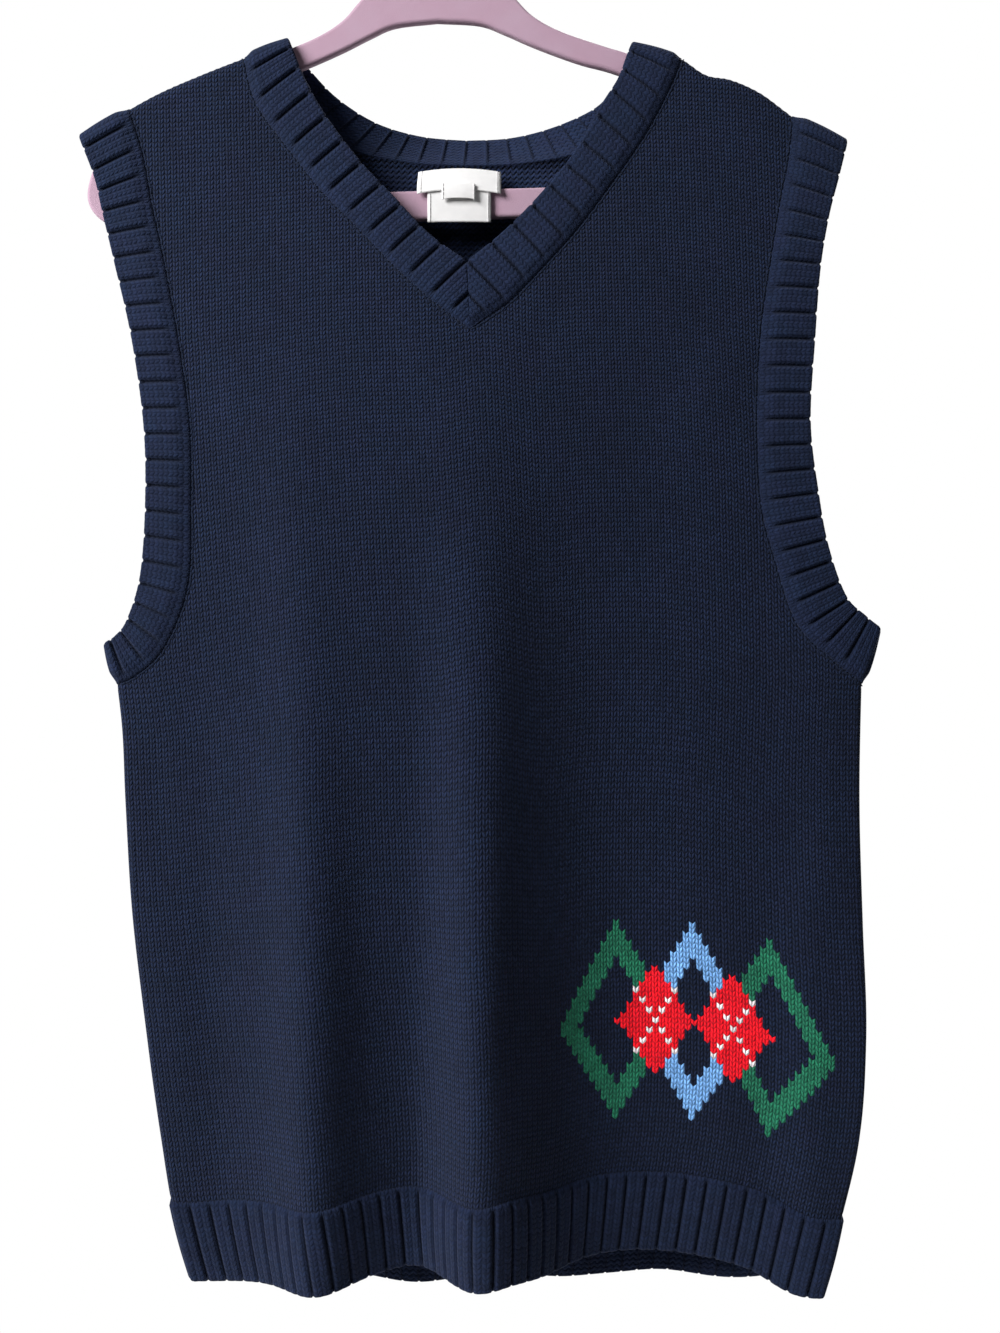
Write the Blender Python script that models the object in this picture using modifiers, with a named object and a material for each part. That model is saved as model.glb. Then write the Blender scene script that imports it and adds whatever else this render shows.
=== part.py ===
"""A child's knitted V-neck sweater vest on a flocked clothes hanger.

Metres, +Z up, +X to the viewer's right, the vest's front towards -Y. The origin is the inside of the
hook's crown, where a rail carries the hanger. A "drop" is a height below that origin.

The cloth is worked out as a depth in front of and behind the plane of the hanger: a folded edge along
the shoulders and the sides, a bulge between them, and the long folds that fall to the hem. Each piece
is cut out of that form along the seams, and the ribbed bands have their ribs raised on the outside.
"""

import math

import bmesh
import bpy
import numpy as np
from mathutils import Vector
from mathutils.geometry import delaunay_2d_cdt


def table(columns, *rows):
    """The named columns of a short table, with a row for each section, station or fold."""
    return dict(zip(columns.split(), np.array(rows).T))


# Cloth
WALL = 0.0025  # knitted cloth, and a band between its ribs
SEAM_GAP = 0.0004  # between two pieces that are sewn together
HEM_BAND = 0.0385  # height of the ribbed hem
HEM_DROP = {"left": 0.7308, "right": 0.7354}  # hem's lower edge at the side seams
HEM_LIFT = {"front": 0.022, "back": -0.005}  # how much higher it is in the middle
HEM_CURVE = 2.4  # power of the hem's curve from side to side
# How much lower the hem hangs along its waves, from side to side
HEM_WAVE = {
    "front": table(
        "across lower",
        (-1.00, 0.0000),
        (-0.90, 0.0015),
        (-0.75, 0.0035),
        (-0.33, 0.0035),
        (-0.12, 0.0030),
        (0.00, 0.0000),
        (0.14, 0.0025),
        (0.27, 0.0000),
        (0.60, -0.0040),
        (0.74, -0.0035),
        (0.90, 0.0010),
        (1.00, -0.0010),
    ),
    "back": table(
        "across lower",
        (-1.00, 0.0000),
        (-0.70, 0.0010),
        (-0.45, 0.0040),
        (0.00, 0.0045),
        (0.17, 0.0035),
        (0.30, 0.0005),
        (1.00, 0.0000),
    ),
}

# The line along the top of both shoulders, from the left band's corner to the right band's
SHOULDERS = table(
    "x drop",
    (-0.1766, 0.1589),  # armhole band's corner
    (-0.1519, 0.1446),  # armhole seam
    (-0.1393, 0.1377),
    (-0.1150, 0.1271),
    (-0.0941, 0.1188),  # neck seam
    (-0.0719, 0.1101),  # neck band's edge
    (0.0996, 0.1120),
    (0.1247, 0.1194),
    (0.1363, 0.1272),
    (0.1489, 0.1298),
    (0.1630, 0.1360),
    (0.1801, 0.1482),
    (0.2072, 0.1612),
)

# Outline of the body below the underarms
SIDES = table(
    "drop left right",
    (0.4330, -0.1578, 0.2135),
    (0.4520, -0.1556, 0.2129),
    (0.4900, -0.1538, 0.2133),
    (0.5500, -0.1500, 0.2150),
    (0.6060, -0.1432, 0.2165),
    (0.6570, -0.1360, 0.2128),
    (0.6935, -0.1298, 0.2055),
    (0.7330, -0.1197, 0.1967),
)

# Armhole bands from the shoulder down to the underarm: the seam's edge and the free edge
ARMHOLES = {
    "left": table(
        "seam_x seam_drop free_x free_drop",
        (-0.1519, 0.1446, -0.1766, 0.1589),
        (-0.1443, 0.1689, -0.1685, 0.1799),
        (-0.1398, 0.1935, -0.1640, 0.1990),
        (-0.1341, 0.2186, -0.1585, 0.2215),
        (-0.1261, 0.2597, -0.1493, 0.2600),
        (-0.1197, 0.3046, -0.1428, 0.3040),
        (-0.1190, 0.3437, -0.1418, 0.3412),
        (-0.1205, 0.3841, -0.1445, 0.3785),
        (-0.1323, 0.4141, -0.1512, 0.4005),
        (-0.1465, 0.4280, -0.1572, 0.4085),
        (-0.1578, 0.4330, -0.1634, 0.4124),
    ),
    "right": table(
        "seam_x seam_drop free_x free_drop",
        (0.1801, 0.1482, 0.2072, 0.1612),
        (0.1774, 0.1719, 0.2022, 0.1810),
        (0.1730, 0.1940, 0.1971, 0.2005),
        (0.1678, 0.2246, 0.1926, 0.2262),
        (0.1625, 0.2600, 0.1896, 0.2600),
        (0.1605, 0.3036, 0.1869, 0.3030),
        (0.1625, 0.3440, 0.1909, 0.3400),
        (0.1696, 0.3728, 0.1955, 0.3650),
        (0.1800, 0.4030, 0.2040, 0.3890),
        (0.1988, 0.4220, 0.2140, 0.3990),
        (0.2135, 0.4330, 0.2222, 0.4054),
    ),
}

# Neck band in front, from the shoulder to the free edge's point and then down the mitre
NECK_FRONT = {
    "left": table(
        "seam_x seam_drop free_x free_drop",
        (-0.0941, 0.1188, -0.0719, 0.1101),
        (-0.0900, 0.1375, -0.0675, 0.1215),
        (-0.0840, 0.1500, -0.0630, 0.1322),
        (-0.0716, 0.1665, -0.0530, 0.1499),
        (-0.0535, 0.1898, -0.0355, 0.1735),
        (-0.0372, 0.2068, -0.0196, 0.1907),
        (-0.0175, 0.2280, -0.0007, 0.2115),
        (-0.0010, 0.2435, 0.0175, 0.2252),
        (0.0190, 0.2591, 0.0190, 0.2591),
    ),
    "right": table(
        "seam_x seam_drop free_x free_drop",
        (0.1247, 0.1194, 0.0996, 0.1120),
        (0.1195, 0.1330, 0.0965, 0.1205),
        (0.1117, 0.1490, 0.0920, 0.1322),
        (0.1030, 0.1643, 0.0833, 0.1460),
        (0.0890, 0.1845, 0.0705, 0.1690),
        (0.0715, 0.2085, 0.0535, 0.1905),
        (0.0530, 0.2298, 0.0352, 0.2101),
        (0.0375, 0.2460, 0.0175, 0.2252),
        (0.0190, 0.2591, 0.0190, 0.2591),
    ),
}

# Neck band behind, from the shoulder to the centre back
NECK_BACK = {
    "left": table(
        "seam_x seam_drop free_x free_drop",
        (-0.0941, 0.1188, -0.0719, 0.1101),
        (-0.0850, 0.1330, -0.0635, 0.1195),
        (-0.0685, 0.1485, -0.0500, 0.1320),
        (-0.0440, 0.1600, -0.0310, 0.1420),
        (-0.0140, 0.1660, -0.0090, 0.1468),
        (0.0150, 0.1675, 0.0160, 0.1483),
    ),
    "right": table(
        "seam_x seam_drop free_x free_drop",
        (0.1247, 0.1194, 0.0996, 0.1120),
        (0.1170, 0.1330, 0.0945, 0.1230),
        (0.1020, 0.1500, 0.0845, 0.1355),
        (0.0750, 0.1612, 0.0650, 0.1430),
        (0.0440, 0.1665, 0.0410, 0.1475),
        (0.0150, 0.1675, 0.0160, 0.1483),
    ),
}
NECK_LEAN = 0.016  # how far the band's free edge leans back at the centre back

# Depth of the cloth off the hanger's plane: the folded edge, and the bulge in front and behind
DEPTH = table(
    "drop edge front back",
    (0.1100, 0.0066, 0.0000, 0.0000),
    (0.1500, 0.0066, 0.0020, 0.0060),
    (0.1900, 0.0068, 0.0045, 0.0085),
    (0.2300, 0.0072, 0.0090, 0.0080),
    (0.2800, 0.0080, 0.0110, 0.0070),
    (0.4300, 0.0080, 0.0130, 0.0070),
    (0.5500, 0.0090, 0.0130, 0.0075),
    (0.6500, 0.0105, 0.0110, 0.0080),
    (0.7400, 0.0120, 0.0085, 0.0080),
)

# Long folds that deepen to the hem: ridges, and troughs with a depth below zero
FOLDS = {
    "front": table(
        "top_x top_drop hem_x width depth",
        (0.020, 0.225, 0.031, 0.027, 0.036),
        (-0.070, 0.400, -0.052, 0.020, 0.019),
        (0.092, 0.320, 0.100, 0.038, -0.004),
        (0.190, 0.300, 0.187, 0.019, 0.007),
        (-0.110, 0.300, -0.100, 0.014, -0.002),
    ),
    "back": table(
        "top_x top_drop hem_x width depth",
        (-0.060, 0.330, -0.052, 0.024, 0.007),
        (0.040, 0.260, 0.034, 0.030, 0.009),
        (0.125, 0.380, 0.120, 0.022, 0.006),
        (-0.005, 0.500, -0.008, 0.018, -0.003),
    ),
}

# Ribs: knitted columns with a narrow groove between
RIB_SHAPE = table("phase height", (0.0, 0.0), (0.2, 1.0), (0.8, 1.0))
FOLD_PHASES = (0.07, 0.35, 0.55)  # more places in a rib that turns over a folded edge
RIB_RISE = {"hem": 0.0013, "neck": 0.0017, "armhole": 0.0017}
RIBS = {"hem": 41, "neck_front": 11, "mitre": 2, "neck_back": 11, "armhole": 24}

# The panels' nets of points
NET_STEP = {"front": (0.0110, 0.0300), "back": (0.0180, 0.0340)}  # across and down
NET_MARGIN = 0.0065  # nearest that a net's inner points come to the outline
SIDE_STEPS = 13  # points along a side seam
SHOULDER_STEPS = 8  # points along a shoulder seam
FOLD_TURNS = (math.radians(25), math.radians(55), math.radians(90))  # points round a folded edge

# Labels inside the back neck: their drape, and each one's place on it
LABEL_WALL = 0.001
LABEL_STEPS = (9, 4)  # points down and across each label
LABEL_DRAPE = table(
    "y drop",
    (0.0108, 0.1690),
    (0.0085, 0.1722),
    (0.0035, 0.1775),
    (-0.0010, 0.1818),
    (-0.0034, 0.1862),
    (-0.0038, 0.1930),
    (-0.0040, 0.2022),
)
LABELS = {
    "label_care": {"left": -0.0025, "right": 0.0292, "start": 0.0000, "end": 1.0, "lift": 0.0000},
    "label_main": {"left": -0.0077, "right": 0.0342, "start": 0.12, "end": 0.60, "lift": 0.0013},
    "label_size": {"left": 0.0047, "right": 0.0215, "start": 0.55, "end": 0.71, "lift": 0.0026},
}

# Hanger, in its own frame, which tilts a little about the middle of the hook's bend
HANGER_TILT = math.radians(1.6)
HANGER_THICK = 0.0052
HANGER_ROUND = 0.0017
HANGER_OUTSIDE = table(
    "x drop",
    (0.0000, 0.0760),
    (0.0150, 0.0762),
    (0.0270, 0.0790),
    (0.0380, 0.0885),
    (0.0480, 0.0990),
    (0.0620, 0.1072),
    (0.0840, 0.1154),
    (0.0960, 0.1195),
    (0.1250, 0.1320),
    (0.1530, 0.1442),
    (0.1650, 0.1540),
    (0.1735, 0.1670),
    (0.1780, 0.1815),
    (0.1755, 0.1910),
    (0.1670, 0.1975),
    (0.1550, 0.1996),
    (0.0800, 0.1996),
    (0.0000, 0.1996),
)
HANGER_WINDOW = table(
    "x drop",
    (0.0000, 0.1003),
    (0.0210, 0.1022),
    (0.0335, 0.1071),
    (0.0464, 0.1132),
    (0.0590, 0.1185),
    (0.0720, 0.1234),
    (0.0900, 0.1290),
    (0.1200, 0.1425),
    (0.1480, 0.1555),
    (0.1600, 0.1650),
    (0.1620, 0.1760),
    (0.1540, 0.1835),
    (0.1450, 0.1851),
    (0.0750, 0.1851),
    (0.0000, 0.1851),
)
OUTLINE_STEPS = 2  # points for each row of a hanger outline

# Hook and its collar
HOOK_WIRE = 0.0035
HOOK_INSIDE = 0.017  # radius inside the bend
HOOK_BEND = (math.radians(-48), math.radians(205))
HOOK_BEND_STEPS = 22
HOOK_STEM = table(
    "x drop",
    (0.0000, 0.0723),
    (0.0000, 0.0560),
    (0.0000, 0.0470),
    (0.0012, 0.0425),
    (0.0040, 0.0385),
    (0.0083, 0.0347),
)
COLLAR_RADIUS = 0.0042
COLLAR_HEIGHT = 0.0030

# Colours (linear), roughness and metallic of each material
MATERIALS = {
    "navy_knit": ((0.020, 0.028, 0.060), 0.95, 0.0),
    "label_cloth": ((0.82, 0.81, 0.80), 0.85, 0.0),
    "pink_flock": ((0.48, 0.28, 0.36), 0.90, 0.0),
    "steel": ((0.55, 0.55, 0.56), 0.30, 1.0),
}

SIGN = {"front": -1.0, "back": 1.0}
NUDGE = 1e-6  # step of the slopes
PARTS = "knitted_sweater_vest_on_hanger"


# ---------------------------------------------------------------- form of the cloth


def smooth(places, values, at):
    """A smooth curve through a table's rows, read at the given places."""
    slopes = np.gradient(values, places)
    at = np.clip(at, places[0], places[-1])
    low = np.clip(np.searchsorted(places, at) - 1, 0, len(places) - 2)
    width = places[low + 1] - places[low]
    t = (at - places[low]) / width
    start = values[low] * (1 + 2 * t) + slopes[low] * width * t
    end = values[low + 1] * (3 - 2 * t) - slopes[low + 1] * width * (1 - t)
    return start * (1 - t) ** 2 + end * t**2


def quarter(t):
    """Height of a quarter circle that starts upright at 0 and is level from 1."""
    near = 1 - np.minimum(np.abs(t), 1)
    return np.sign(t) * np.sqrt(1 - near**2)


def side_x(drop, edge):
    """Where the folded side is: the body's outline, and above it the armhole band's underarm fold."""
    hole = ARMHOLES[edge]
    seam, free = hole["seam_drop"][-1], hole["free_drop"][-1]
    share = (drop - seam) / (free - seam)
    fold = hole["seam_x"][-1] + share * (hole["free_x"][-1] - hole["seam_x"][-1])
    return np.where(drop > seam, smooth(SIDES["drop"], SIDES[edge], drop), fold)


def from_side(x, drop, edge):
    """Distance in from the folded side, or from the underarm's corner above it."""
    corner_x, corner_drop = ARMHOLES[edge]["free_x"][-1], ARMHOLES[edge]["free_drop"][-1]
    inward = (x - side_x(drop, edge)) * (1 if edge == "left" else -1)
    return np.where(drop > corner_drop, inward, np.hypot(x - corner_x, drop - corner_drop))


def across_body(x, drop):
    """Place across the body: -1 at the left side, 1 at the right."""
    left, right = (smooth(SIDES["drop"], SIDES[edge], drop) for edge in ("left", "right"))
    return np.clip((2 * x - left - right) / (right - left), -1, 1)


def fold_depth(x, drop, face):
    folds = FOLDS[face]
    total = np.zeros(np.broadcast(x, drop).shape)
    for top_x, top_drop, hem_x, width, depth in zip(*folds.values()):
        share = np.clip((drop - top_drop) / (HEM_DROP["left"] - top_drop), 0, 1)
        middle = top_x + (hem_x - top_x) * share
        total += depth * share**2 * (3 - 2 * share) * np.exp(-(((x - middle) / width) ** 2))
    return total


def depth_of(x, drop, face):
    """Distance of the cloth's outside from the hanger's plane."""
    edge = smooth(DEPTH["drop"], DEPTH["edge"], drop)
    bulge = smooth(DEPTH["drop"], DEPTH[face], drop)
    crown = np.cos(0.5 * math.pi * across_body(x, drop))
    below = drop - smooth(SHOULDERS["x"], SHOULDERS["drop"], x)
    rounding = quarter(below / edge)
    for side in ("left", "right"):
        rounding = rounding * quarter(from_side(x, drop, side) / edge)
    return (edge + bulge * crown + fold_depth(x, drop, face)) * rounding


def cloth(x, drop, face):
    """Points on the outside of the cloth."""
    x, drop = np.broadcast_arrays(x, drop)
    return np.stack([x, SIGN[face] * depth_of(x, drop, face), -drop], -1)


def facing(x, drop, face):
    """Directions straight out of the cloth at those points."""
    along_x = depth_of(x + NUDGE, drop, face) - depth_of(x - NUDGE, drop, face)
    along_drop = depth_of(x, drop + NUDGE, face) - depth_of(x, drop - NUDGE, face)
    out = np.stack([-along_x, np.full(np.shape(along_x), 2 * NUDGE * SIGN[face]), along_drop], -1)
    return out / np.linalg.norm(out, axis=-1, keepdims=True)


def lengths(points):
    """Distance along a row of points, from its start."""
    steps = np.linalg.norm(np.diff(points, axis=0), axis=1)
    return np.concatenate([[0.0], np.cumsum(steps)])


def hem_drop(across, face):
    """Drop of the hem's lower edge, with across from -1 at the left side to 1 at the right."""
    level = HEM_DROP["left"] + (HEM_DROP["right"] - HEM_DROP["left"]) * (1 + across) / 2
    wave = HEM_WAVE[face]
    lower = smooth(wave["across"], wave["lower"], across)
    return level + lower - HEM_LIFT[face] * (1 - np.abs(across) ** HEM_CURVE)


# ---------------------------------------------------------------- meshes


def add_object(name, data, material):
    obj = bpy.data.objects.new(name, data)
    colour, roughness, metallic = MATERIALS[material]
    made = bpy.data.materials.get(material) or bpy.data.materials.new(material)
    made.use_nodes = True
    shader = made.node_tree.nodes["Principled BSDF"]
    shader.inputs["Base Color"].default_value = (*colour, 1.0)
    shader.inputs["Roughness"].default_value = roughness
    shader.inputs["Metallic"].default_value = metallic
    data.materials.append(made)
    bpy.data.collections[PARTS].objects.link(obj)
    return obj


def grid_faces(index):
    """Faces between neighbours in a grid of point numbers. A shared corner makes a triangle."""
    corners = zip(index[:-1, :-1].flat, index[:-1, 1:].flat, index[1:, 1:].flat, index[1:, :-1].flat)
    faces = [list(dict.fromkeys(face)) for face in corners]
    return [face for face in faces if len(face) > 2]


def knitted(name, points, out, rise, faces):
    """A closed solid from a net of points: the outside is raised along the directions out, where there are
    ribs, and the inside lies one wall below the points."""
    outside = points + out * rise[:, None]
    inside = points - out * WALL
    count = len(points)
    edges = {}
    for face in faces:
        for a, b in zip(face, face[1:] + face[:1]):
            edges.setdefault(frozenset((a, b)), []).append((a, b))
    rims = [used[0] for used in edges.values() if len(used) == 1]
    solid = list(faces)
    solid += [[corner + count for corner in reversed(face)] for face in faces]
    solid += [[b, a, a + count, b + count] for a, b in rims]
    mesh = bpy.data.meshes.new(name)
    mesh.from_pydata(np.concatenate([outside, inside]).tolist(), [], solid)
    cage = bmesh.new()
    cage.from_mesh(mesh)
    bmesh.ops.recalc_face_normals(cage, faces=cage.faces)
    cage.to_mesh(mesh)
    cage.free()
    return add_object(name, mesh, "navy_knit")


def ribbed(name, strips):
    """A band from strips that share edges, each with its grids of points, directions and rises."""
    points, out, rise = (
        np.concatenate([part.reshape(-1, *part.shape[2:]) for part in parts]) for parts in zip(*strips)
    )
    _, first, index = np.unique(np.round(points, 6), axis=0, return_index=True, return_inverse=True)
    index = index.reshape(-1)
    faces, start = [], 0
    for grid, _, _ in strips:
        size = grid.shape[0] * grid.shape[1]
        faces += grid_faces(index[start : start + size].reshape(grid.shape[:2]))
        start += size
    shared = np.zeros((len(first), 3))
    np.add.at(shared, index, out)
    shared /= np.linalg.norm(shared, axis=1, keepdims=True)
    knitted(name, points[first], shared, rise[first], faces)


# ---------------------------------------------------------------- seams


def rib_places(count, folded=()):
    """Places along a run of ribs, from 0 to 1, and the share of the rise at each. More places are given for
    the ribs whose numbers are in folded."""
    phases = (np.arange(count)[:, None] + RIB_SHAPE["phase"]).reshape(-1)
    more = [number + phase for number in folded for phase in FOLD_PHASES]
    places = np.sort(np.concatenate([phases, more, [count]]))
    shape = np.append(RIB_SHAPE["phase"], 1.0), np.append(RIB_SHAPE["height"], 0.0)
    return places / count, np.interp(places % 1, *shape)


def seam_and_free(rows, t):
    """Places on a band's seam and on its free edge. t counts the table's rows."""
    count = np.arange(len(rows["seam_x"]))
    return [
        np.stack([smooth(count, rows[edge + "_x"], t), smooth(count, rows[edge + "_drop"], t)], -1)
        for edge in ("seam", "free")
    ]


def even_places(rows, face, places):
    """Places in a band's table that are spaced along its seam as asked, from its first row to its last."""
    t = np.linspace(0, len(rows["seam_x"]) - 1, 800)
    seam, _ = seam_and_free(rows, t)
    run = lengths(cloth(*seam.T, face))
    return np.interp(places * run[-1], run, t)


def armhole_run(edge, face):
    """The armhole's seam and free edge from the shoulder to the underarm, and the ribs' heights there."""
    places, heights = rib_places(RIBS["armhole"], (0, RIBS["armhole"] - 1))
    t = even_places(ARMHOLES[edge], face, places)
    return *seam_and_free(ARMHOLES[edge], t), heights


def neck_runs(edge, face):
    """The same for the neck, from the shoulder to the middle. In front the mitre is a run of its own."""
    rows = NECK_BACK[edge] if face == "back" else NECK_FRONT[edge]
    places, heights = rib_places(RIBS["neck_" + face], (0,))
    if face == "back":
        return [(*seam_and_free(rows, even_places(rows, face, places)), heights)]
    straight = {name: column[:-1] for name, column in rows.items()}
    mitre = {name: column[-2:] for name, column in rows.items()}
    t, fine_heights = rib_places(RIBS["mitre"])
    return [
        (*seam_and_free(straight, even_places(straight, face, places)), heights),
        (*seam_and_free(mitre, t), fine_heights),
    ]


def hem_line(face, above, places):
    """Places along the hem at a height above its lower edge, from side seam to side seam."""
    across = np.sin(np.linspace(-0.5, 0.5, 900) * math.pi)
    drop = hem_drop(across, face) - above
    left, right = side_x(drop, "left"), side_x(drop, "right")
    x = 0.5 * (left + right) + 0.5 * (right - left) * across
    run = lengths(cloth(x, drop, face))
    return np.stack([np.interp(places * run[-1], run, column) for column in (x, drop)], -1)


def hem_run(face):
    """The hem's seam and free edge from side seam to side seam, and the ribs' heights there."""
    places, heights = rib_places(RIBS["hem"])
    return hem_line(face, HEM_BAND, places), hem_line(face, 0.0, places), heights


def across_band(seam, free, face):
    """The cloth along a seam: points, directions out, and directions across the band with its width."""
    points, out = cloth(*seam.T, face), facing(*seam.T, face)
    across = cloth(*free.T, face) - points
    across -= out * (across * out).sum(1, keepdims=True)
    width = np.linalg.norm(across, axis=1, keepdims=True)
    return points, out, across / np.maximum(width, NUDGE), width


# ---------------------------------------------------------------- panels


def panel_edge(seam, free, face):
    """A panel's edge beside a band's seam, and its directions out."""
    points, out, across, _ = across_band(seam, free, face)
    return np.stack([points - across * 0.5 * SEAM_GAP, out])


def open_edge(places, face):
    """Points and directions out at the given places."""
    return np.stack([cloth(*places.T, face), facing(*places.T, face)])


def spread_over(loop, step, margin):
    """A lattice of places inside an outline, no nearer to it than the margin."""
    low, high = loop.min(0), loop.max(0)
    columns, rows = (np.arange(low[i] + step[i] / 2, high[i], step[i]) for i in (0, 1))
    places = np.stack(np.meshgrid(columns, rows), -1).reshape(-1, 2)
    start, end = loop, np.roll(loop, -1, 0)
    crossed = (start[:, 1] > places[:, None, 1]) != (end[:, 1] > places[:, None, 1])
    rise = np.where(end[:, 1] == start[:, 1], 1.0, end[:, 1] - start[:, 1])
    at = start[:, 0] + (places[:, None, 1] - start[:, 1]) / rise * (end[:, 0] - start[:, 0])
    within = (crossed & (places[:, None, 0] < at)).sum(1) % 2 == 1
    along = end - start
    share = ((places[:, None] - start) * along).sum(2) / (along**2).sum(1)
    nearest = start + np.clip(share, 0, 1)[..., None] * along
    clear = np.linalg.norm(places[:, None] - nearest, axis=2).min(1) > margin
    return places[within & clear]


def half_outline(face, edge, corner):
    """A panel's edge from above the hem's corner up the side, the armhole, the shoulder and the neck to the
    middle, and the places just inside the folded side and shoulder."""
    hole = panel_edge(*armhole_run(edge, face)[:2], face)[:, ::-1]
    runs = neck_runs(edge, face)
    neck = np.concatenate([panel_edge(seam, free, face)[:, :-1] for seam, free, _ in runs], 1)
    side_drop = np.linspace(corner, -hole[0, 0, 2], SIDE_STEPS)[1:-1]
    side = np.stack([side_x(side_drop, edge), side_drop], -1)
    top_x = np.linspace(hole[0, -1, 0], neck[0, 0, 0], SHOULDER_STEPS)[1:-1]
    top = np.stack([top_x, smooth(SHOULDERS["x"], SHOULDERS["drop"], top_x)], -1)
    inward = 1 if edge == "left" else -1
    folded = []
    for line, direction in ((side, (inward, 0)), (top, (0, 1))):
        depth = smooth(DEPTH["drop"], DEPTH["edge"], line[:, 1])
        folded += [line + np.outer(depth * (1 - math.cos(turn)), direction) for turn in FOLD_TURNS]
    line = np.concatenate([open_edge(side, face), hole, open_edge(top, face), neck], 1)
    return line, np.concatenate(folded)


def panel(face):
    """The front or the back: its outline along the seams, filled with a net of points."""
    hem = panel_edge(*hem_run(face)[:2], face)
    left, left_folded = half_outline(face, "left", -hem[0, 0, 2])
    right, right_folded = half_outline(face, "right", -hem[0, -1, 2])
    rows = (NECK_FRONT if face == "front" else NECK_BACK)["left"]
    middle = open_edge(np.array([[rows["seam_x"][-1], rows["seam_drop"][-1] + 0.6 * SEAM_GAP]]), face)
    loop = np.concatenate([left, middle, right[:, ::-1], hem[:, ::-1]], 1)
    outline = loop[0][:, [0, 2]] * (1, -1)
    inner = np.concatenate([left_folded, right_folded, spread_over(outline, NET_STEP[face], NET_MARGIN)])
    places = np.concatenate([outline, inner])
    net = delaunay_2d_cdt([Vector(place) for place in places], [], [list(range(len(outline)))], 1, NUDGE)
    kept = [source[0] for source in net[3]]
    points, out = np.concatenate([loop, open_edge(inner, face)], 1)[:, kept]
    points[:, 1] = SIGN[face] * np.maximum(np.abs(points[:, 1]), 0.5 * SEAM_GAP)
    knitted(face + "_panel", points, out, np.zeros(len(points)), [list(corners) for corners in net[2]])


# ---------------------------------------------------------------- ribbed bands


def strip_of(seam, free, face, heights, rise, folds):
    """A strip's points, directions and rises. Its ends in folds lie in the hanger's plane."""
    points, out, across, width = across_band(seam, free, face)
    points = points + across * np.minimum(0.5 * SEAM_GAP, 0.5 * width)
    grid = np.stack([points, cloth(*free.T, face)], 1)
    for end in folds:
        grid[end, :, 1] = 0.0
    return [grid, np.stack([out, facing(*free.T, face)], 1), rise * np.stack([heights, heights], 1)]


def hem_rib(face):
    """The ribbed hem of one panel, from side seam to side seam."""
    seam, free, heights = hem_run(face)
    grid, out, rise = strip_of(seam, free, face, heights, RIB_RISE["hem"], ())
    grid[..., 1] = SIGN[face] * np.maximum(np.abs(grid[..., 1]), 0.5 * SEAM_GAP)
    ribbed("hem_rib_" + face, [[grid, out, rise]])


def armhole_band(edge):
    """A ring: down the front from the shoulder to the underarm, and up the back."""
    strips = []
    for face in ("front", "back"):
        seam, free, heights = armhole_run(edge, face)
        strips.append(strip_of(seam, free, face, heights, RIB_RISE["armhole"], (0, -1)))
    ribbed("armhole_band_" + edge, strips)


def leaning_back(strip):
    """The back of the neck band, tipped back from its seam, most in the middle."""
    grid, out, _ = strip
    share = np.linspace(0, 1, len(grid))
    grid[:, 1, 1] += NECK_LEAN * np.sin(0.5 * math.pi * share) ** 2
    normal = np.cross(grid[:, 1] - grid[:, 0], np.gradient(grid[:, 1], axis=0))
    normal /= np.linalg.norm(normal, axis=1, keepdims=True)
    normal *= np.sign((normal * out[:, 1]).sum(1, keepdims=True))
    out[1:, 1] = normal[1:]
    return strip


def neck_band():
    """A ring: two mitred sides in front, and the back."""
    strips = []
    for edge in ("left", "right"):
        for face in ("front", "back"):
            for number, (seam, free, heights) in enumerate(neck_runs(edge, face)):
                strip = strip_of(seam, free, face, heights, RIB_RISE["neck"], (0,) if number == 0 else ())
                strips.append(leaning_back(strip) if face == "back" else strip)
    ribbed("neck_band", strips)


# ---------------------------------------------------------------- labels


def label(name, left, right, start, end, lift):
    """A label that hangs from the back neck seam in front of the hanger's bar."""
    rows = np.arange(len(LABEL_DRAPE["y"]))
    t = np.linspace(0, rows[-1], 200)
    path = np.stack([smooth(rows, LABEL_DRAPE["y"], t), -smooth(rows, LABEL_DRAPE["drop"], t)], -1)
    run = lengths(path)
    wanted = np.linspace(start, end, LABEL_STEPS[0]) * run[-1]
    ahead = np.gradient(path, axis=0)
    ahead /= np.linalg.norm(ahead, axis=1, keepdims=True)
    lifted = path + (lift + LABEL_WALL) * np.stack([ahead[:, 1], -ahead[:, 0]], -1)
    y, z = (np.interp(wanted, run, lifted[:, axis]) for axis in (0, 1))
    across = np.linspace(left, right, LABEL_STEPS[1])
    grid = np.stack(np.broadcast_arrays(across, y[:, None], z[:, None]), -1)
    mesh = bpy.data.meshes.new(name)
    numbers = np.arange(y.size * across.size).reshape(LABEL_STEPS)
    mesh.from_pydata(grid.reshape(-1, 3).tolist(), [], grid_faces(numbers))
    mesh.shade_smooth()
    obj = add_object(name, mesh, "label_cloth")
    solidify = obj.modifiers.new("wall", "SOLIDIFY")
    solidify.thickness = LABEL_WALL
    solidify.offset = 0.0


# ---------------------------------------------------------------- hanger


def mirrored_outline(rows):
    """A closed outline from its right half, smooth through the rows."""
    t = np.linspace(0, len(rows["x"]) - 1, OUTLINE_STEPS * (len(rows["x"]) - 1) + 1)
    count = np.arange(len(rows["x"]))
    half = np.stack([smooth(count, rows["x"], t), HOOK_INSIDE - smooth(count, rows["drop"], t)], -1)
    other = half[-2:0:-1] * (-1, 1)
    return np.concatenate([half, other])


def add_spline(curve, points, closed):
    spline = curve.splines.new("POLY")
    spline.points.add(len(points) - 1)
    for point, place in zip(spline.points, points):
        point.co = (*place, 1.0)
    spline.use_cyclic_u = closed


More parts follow.
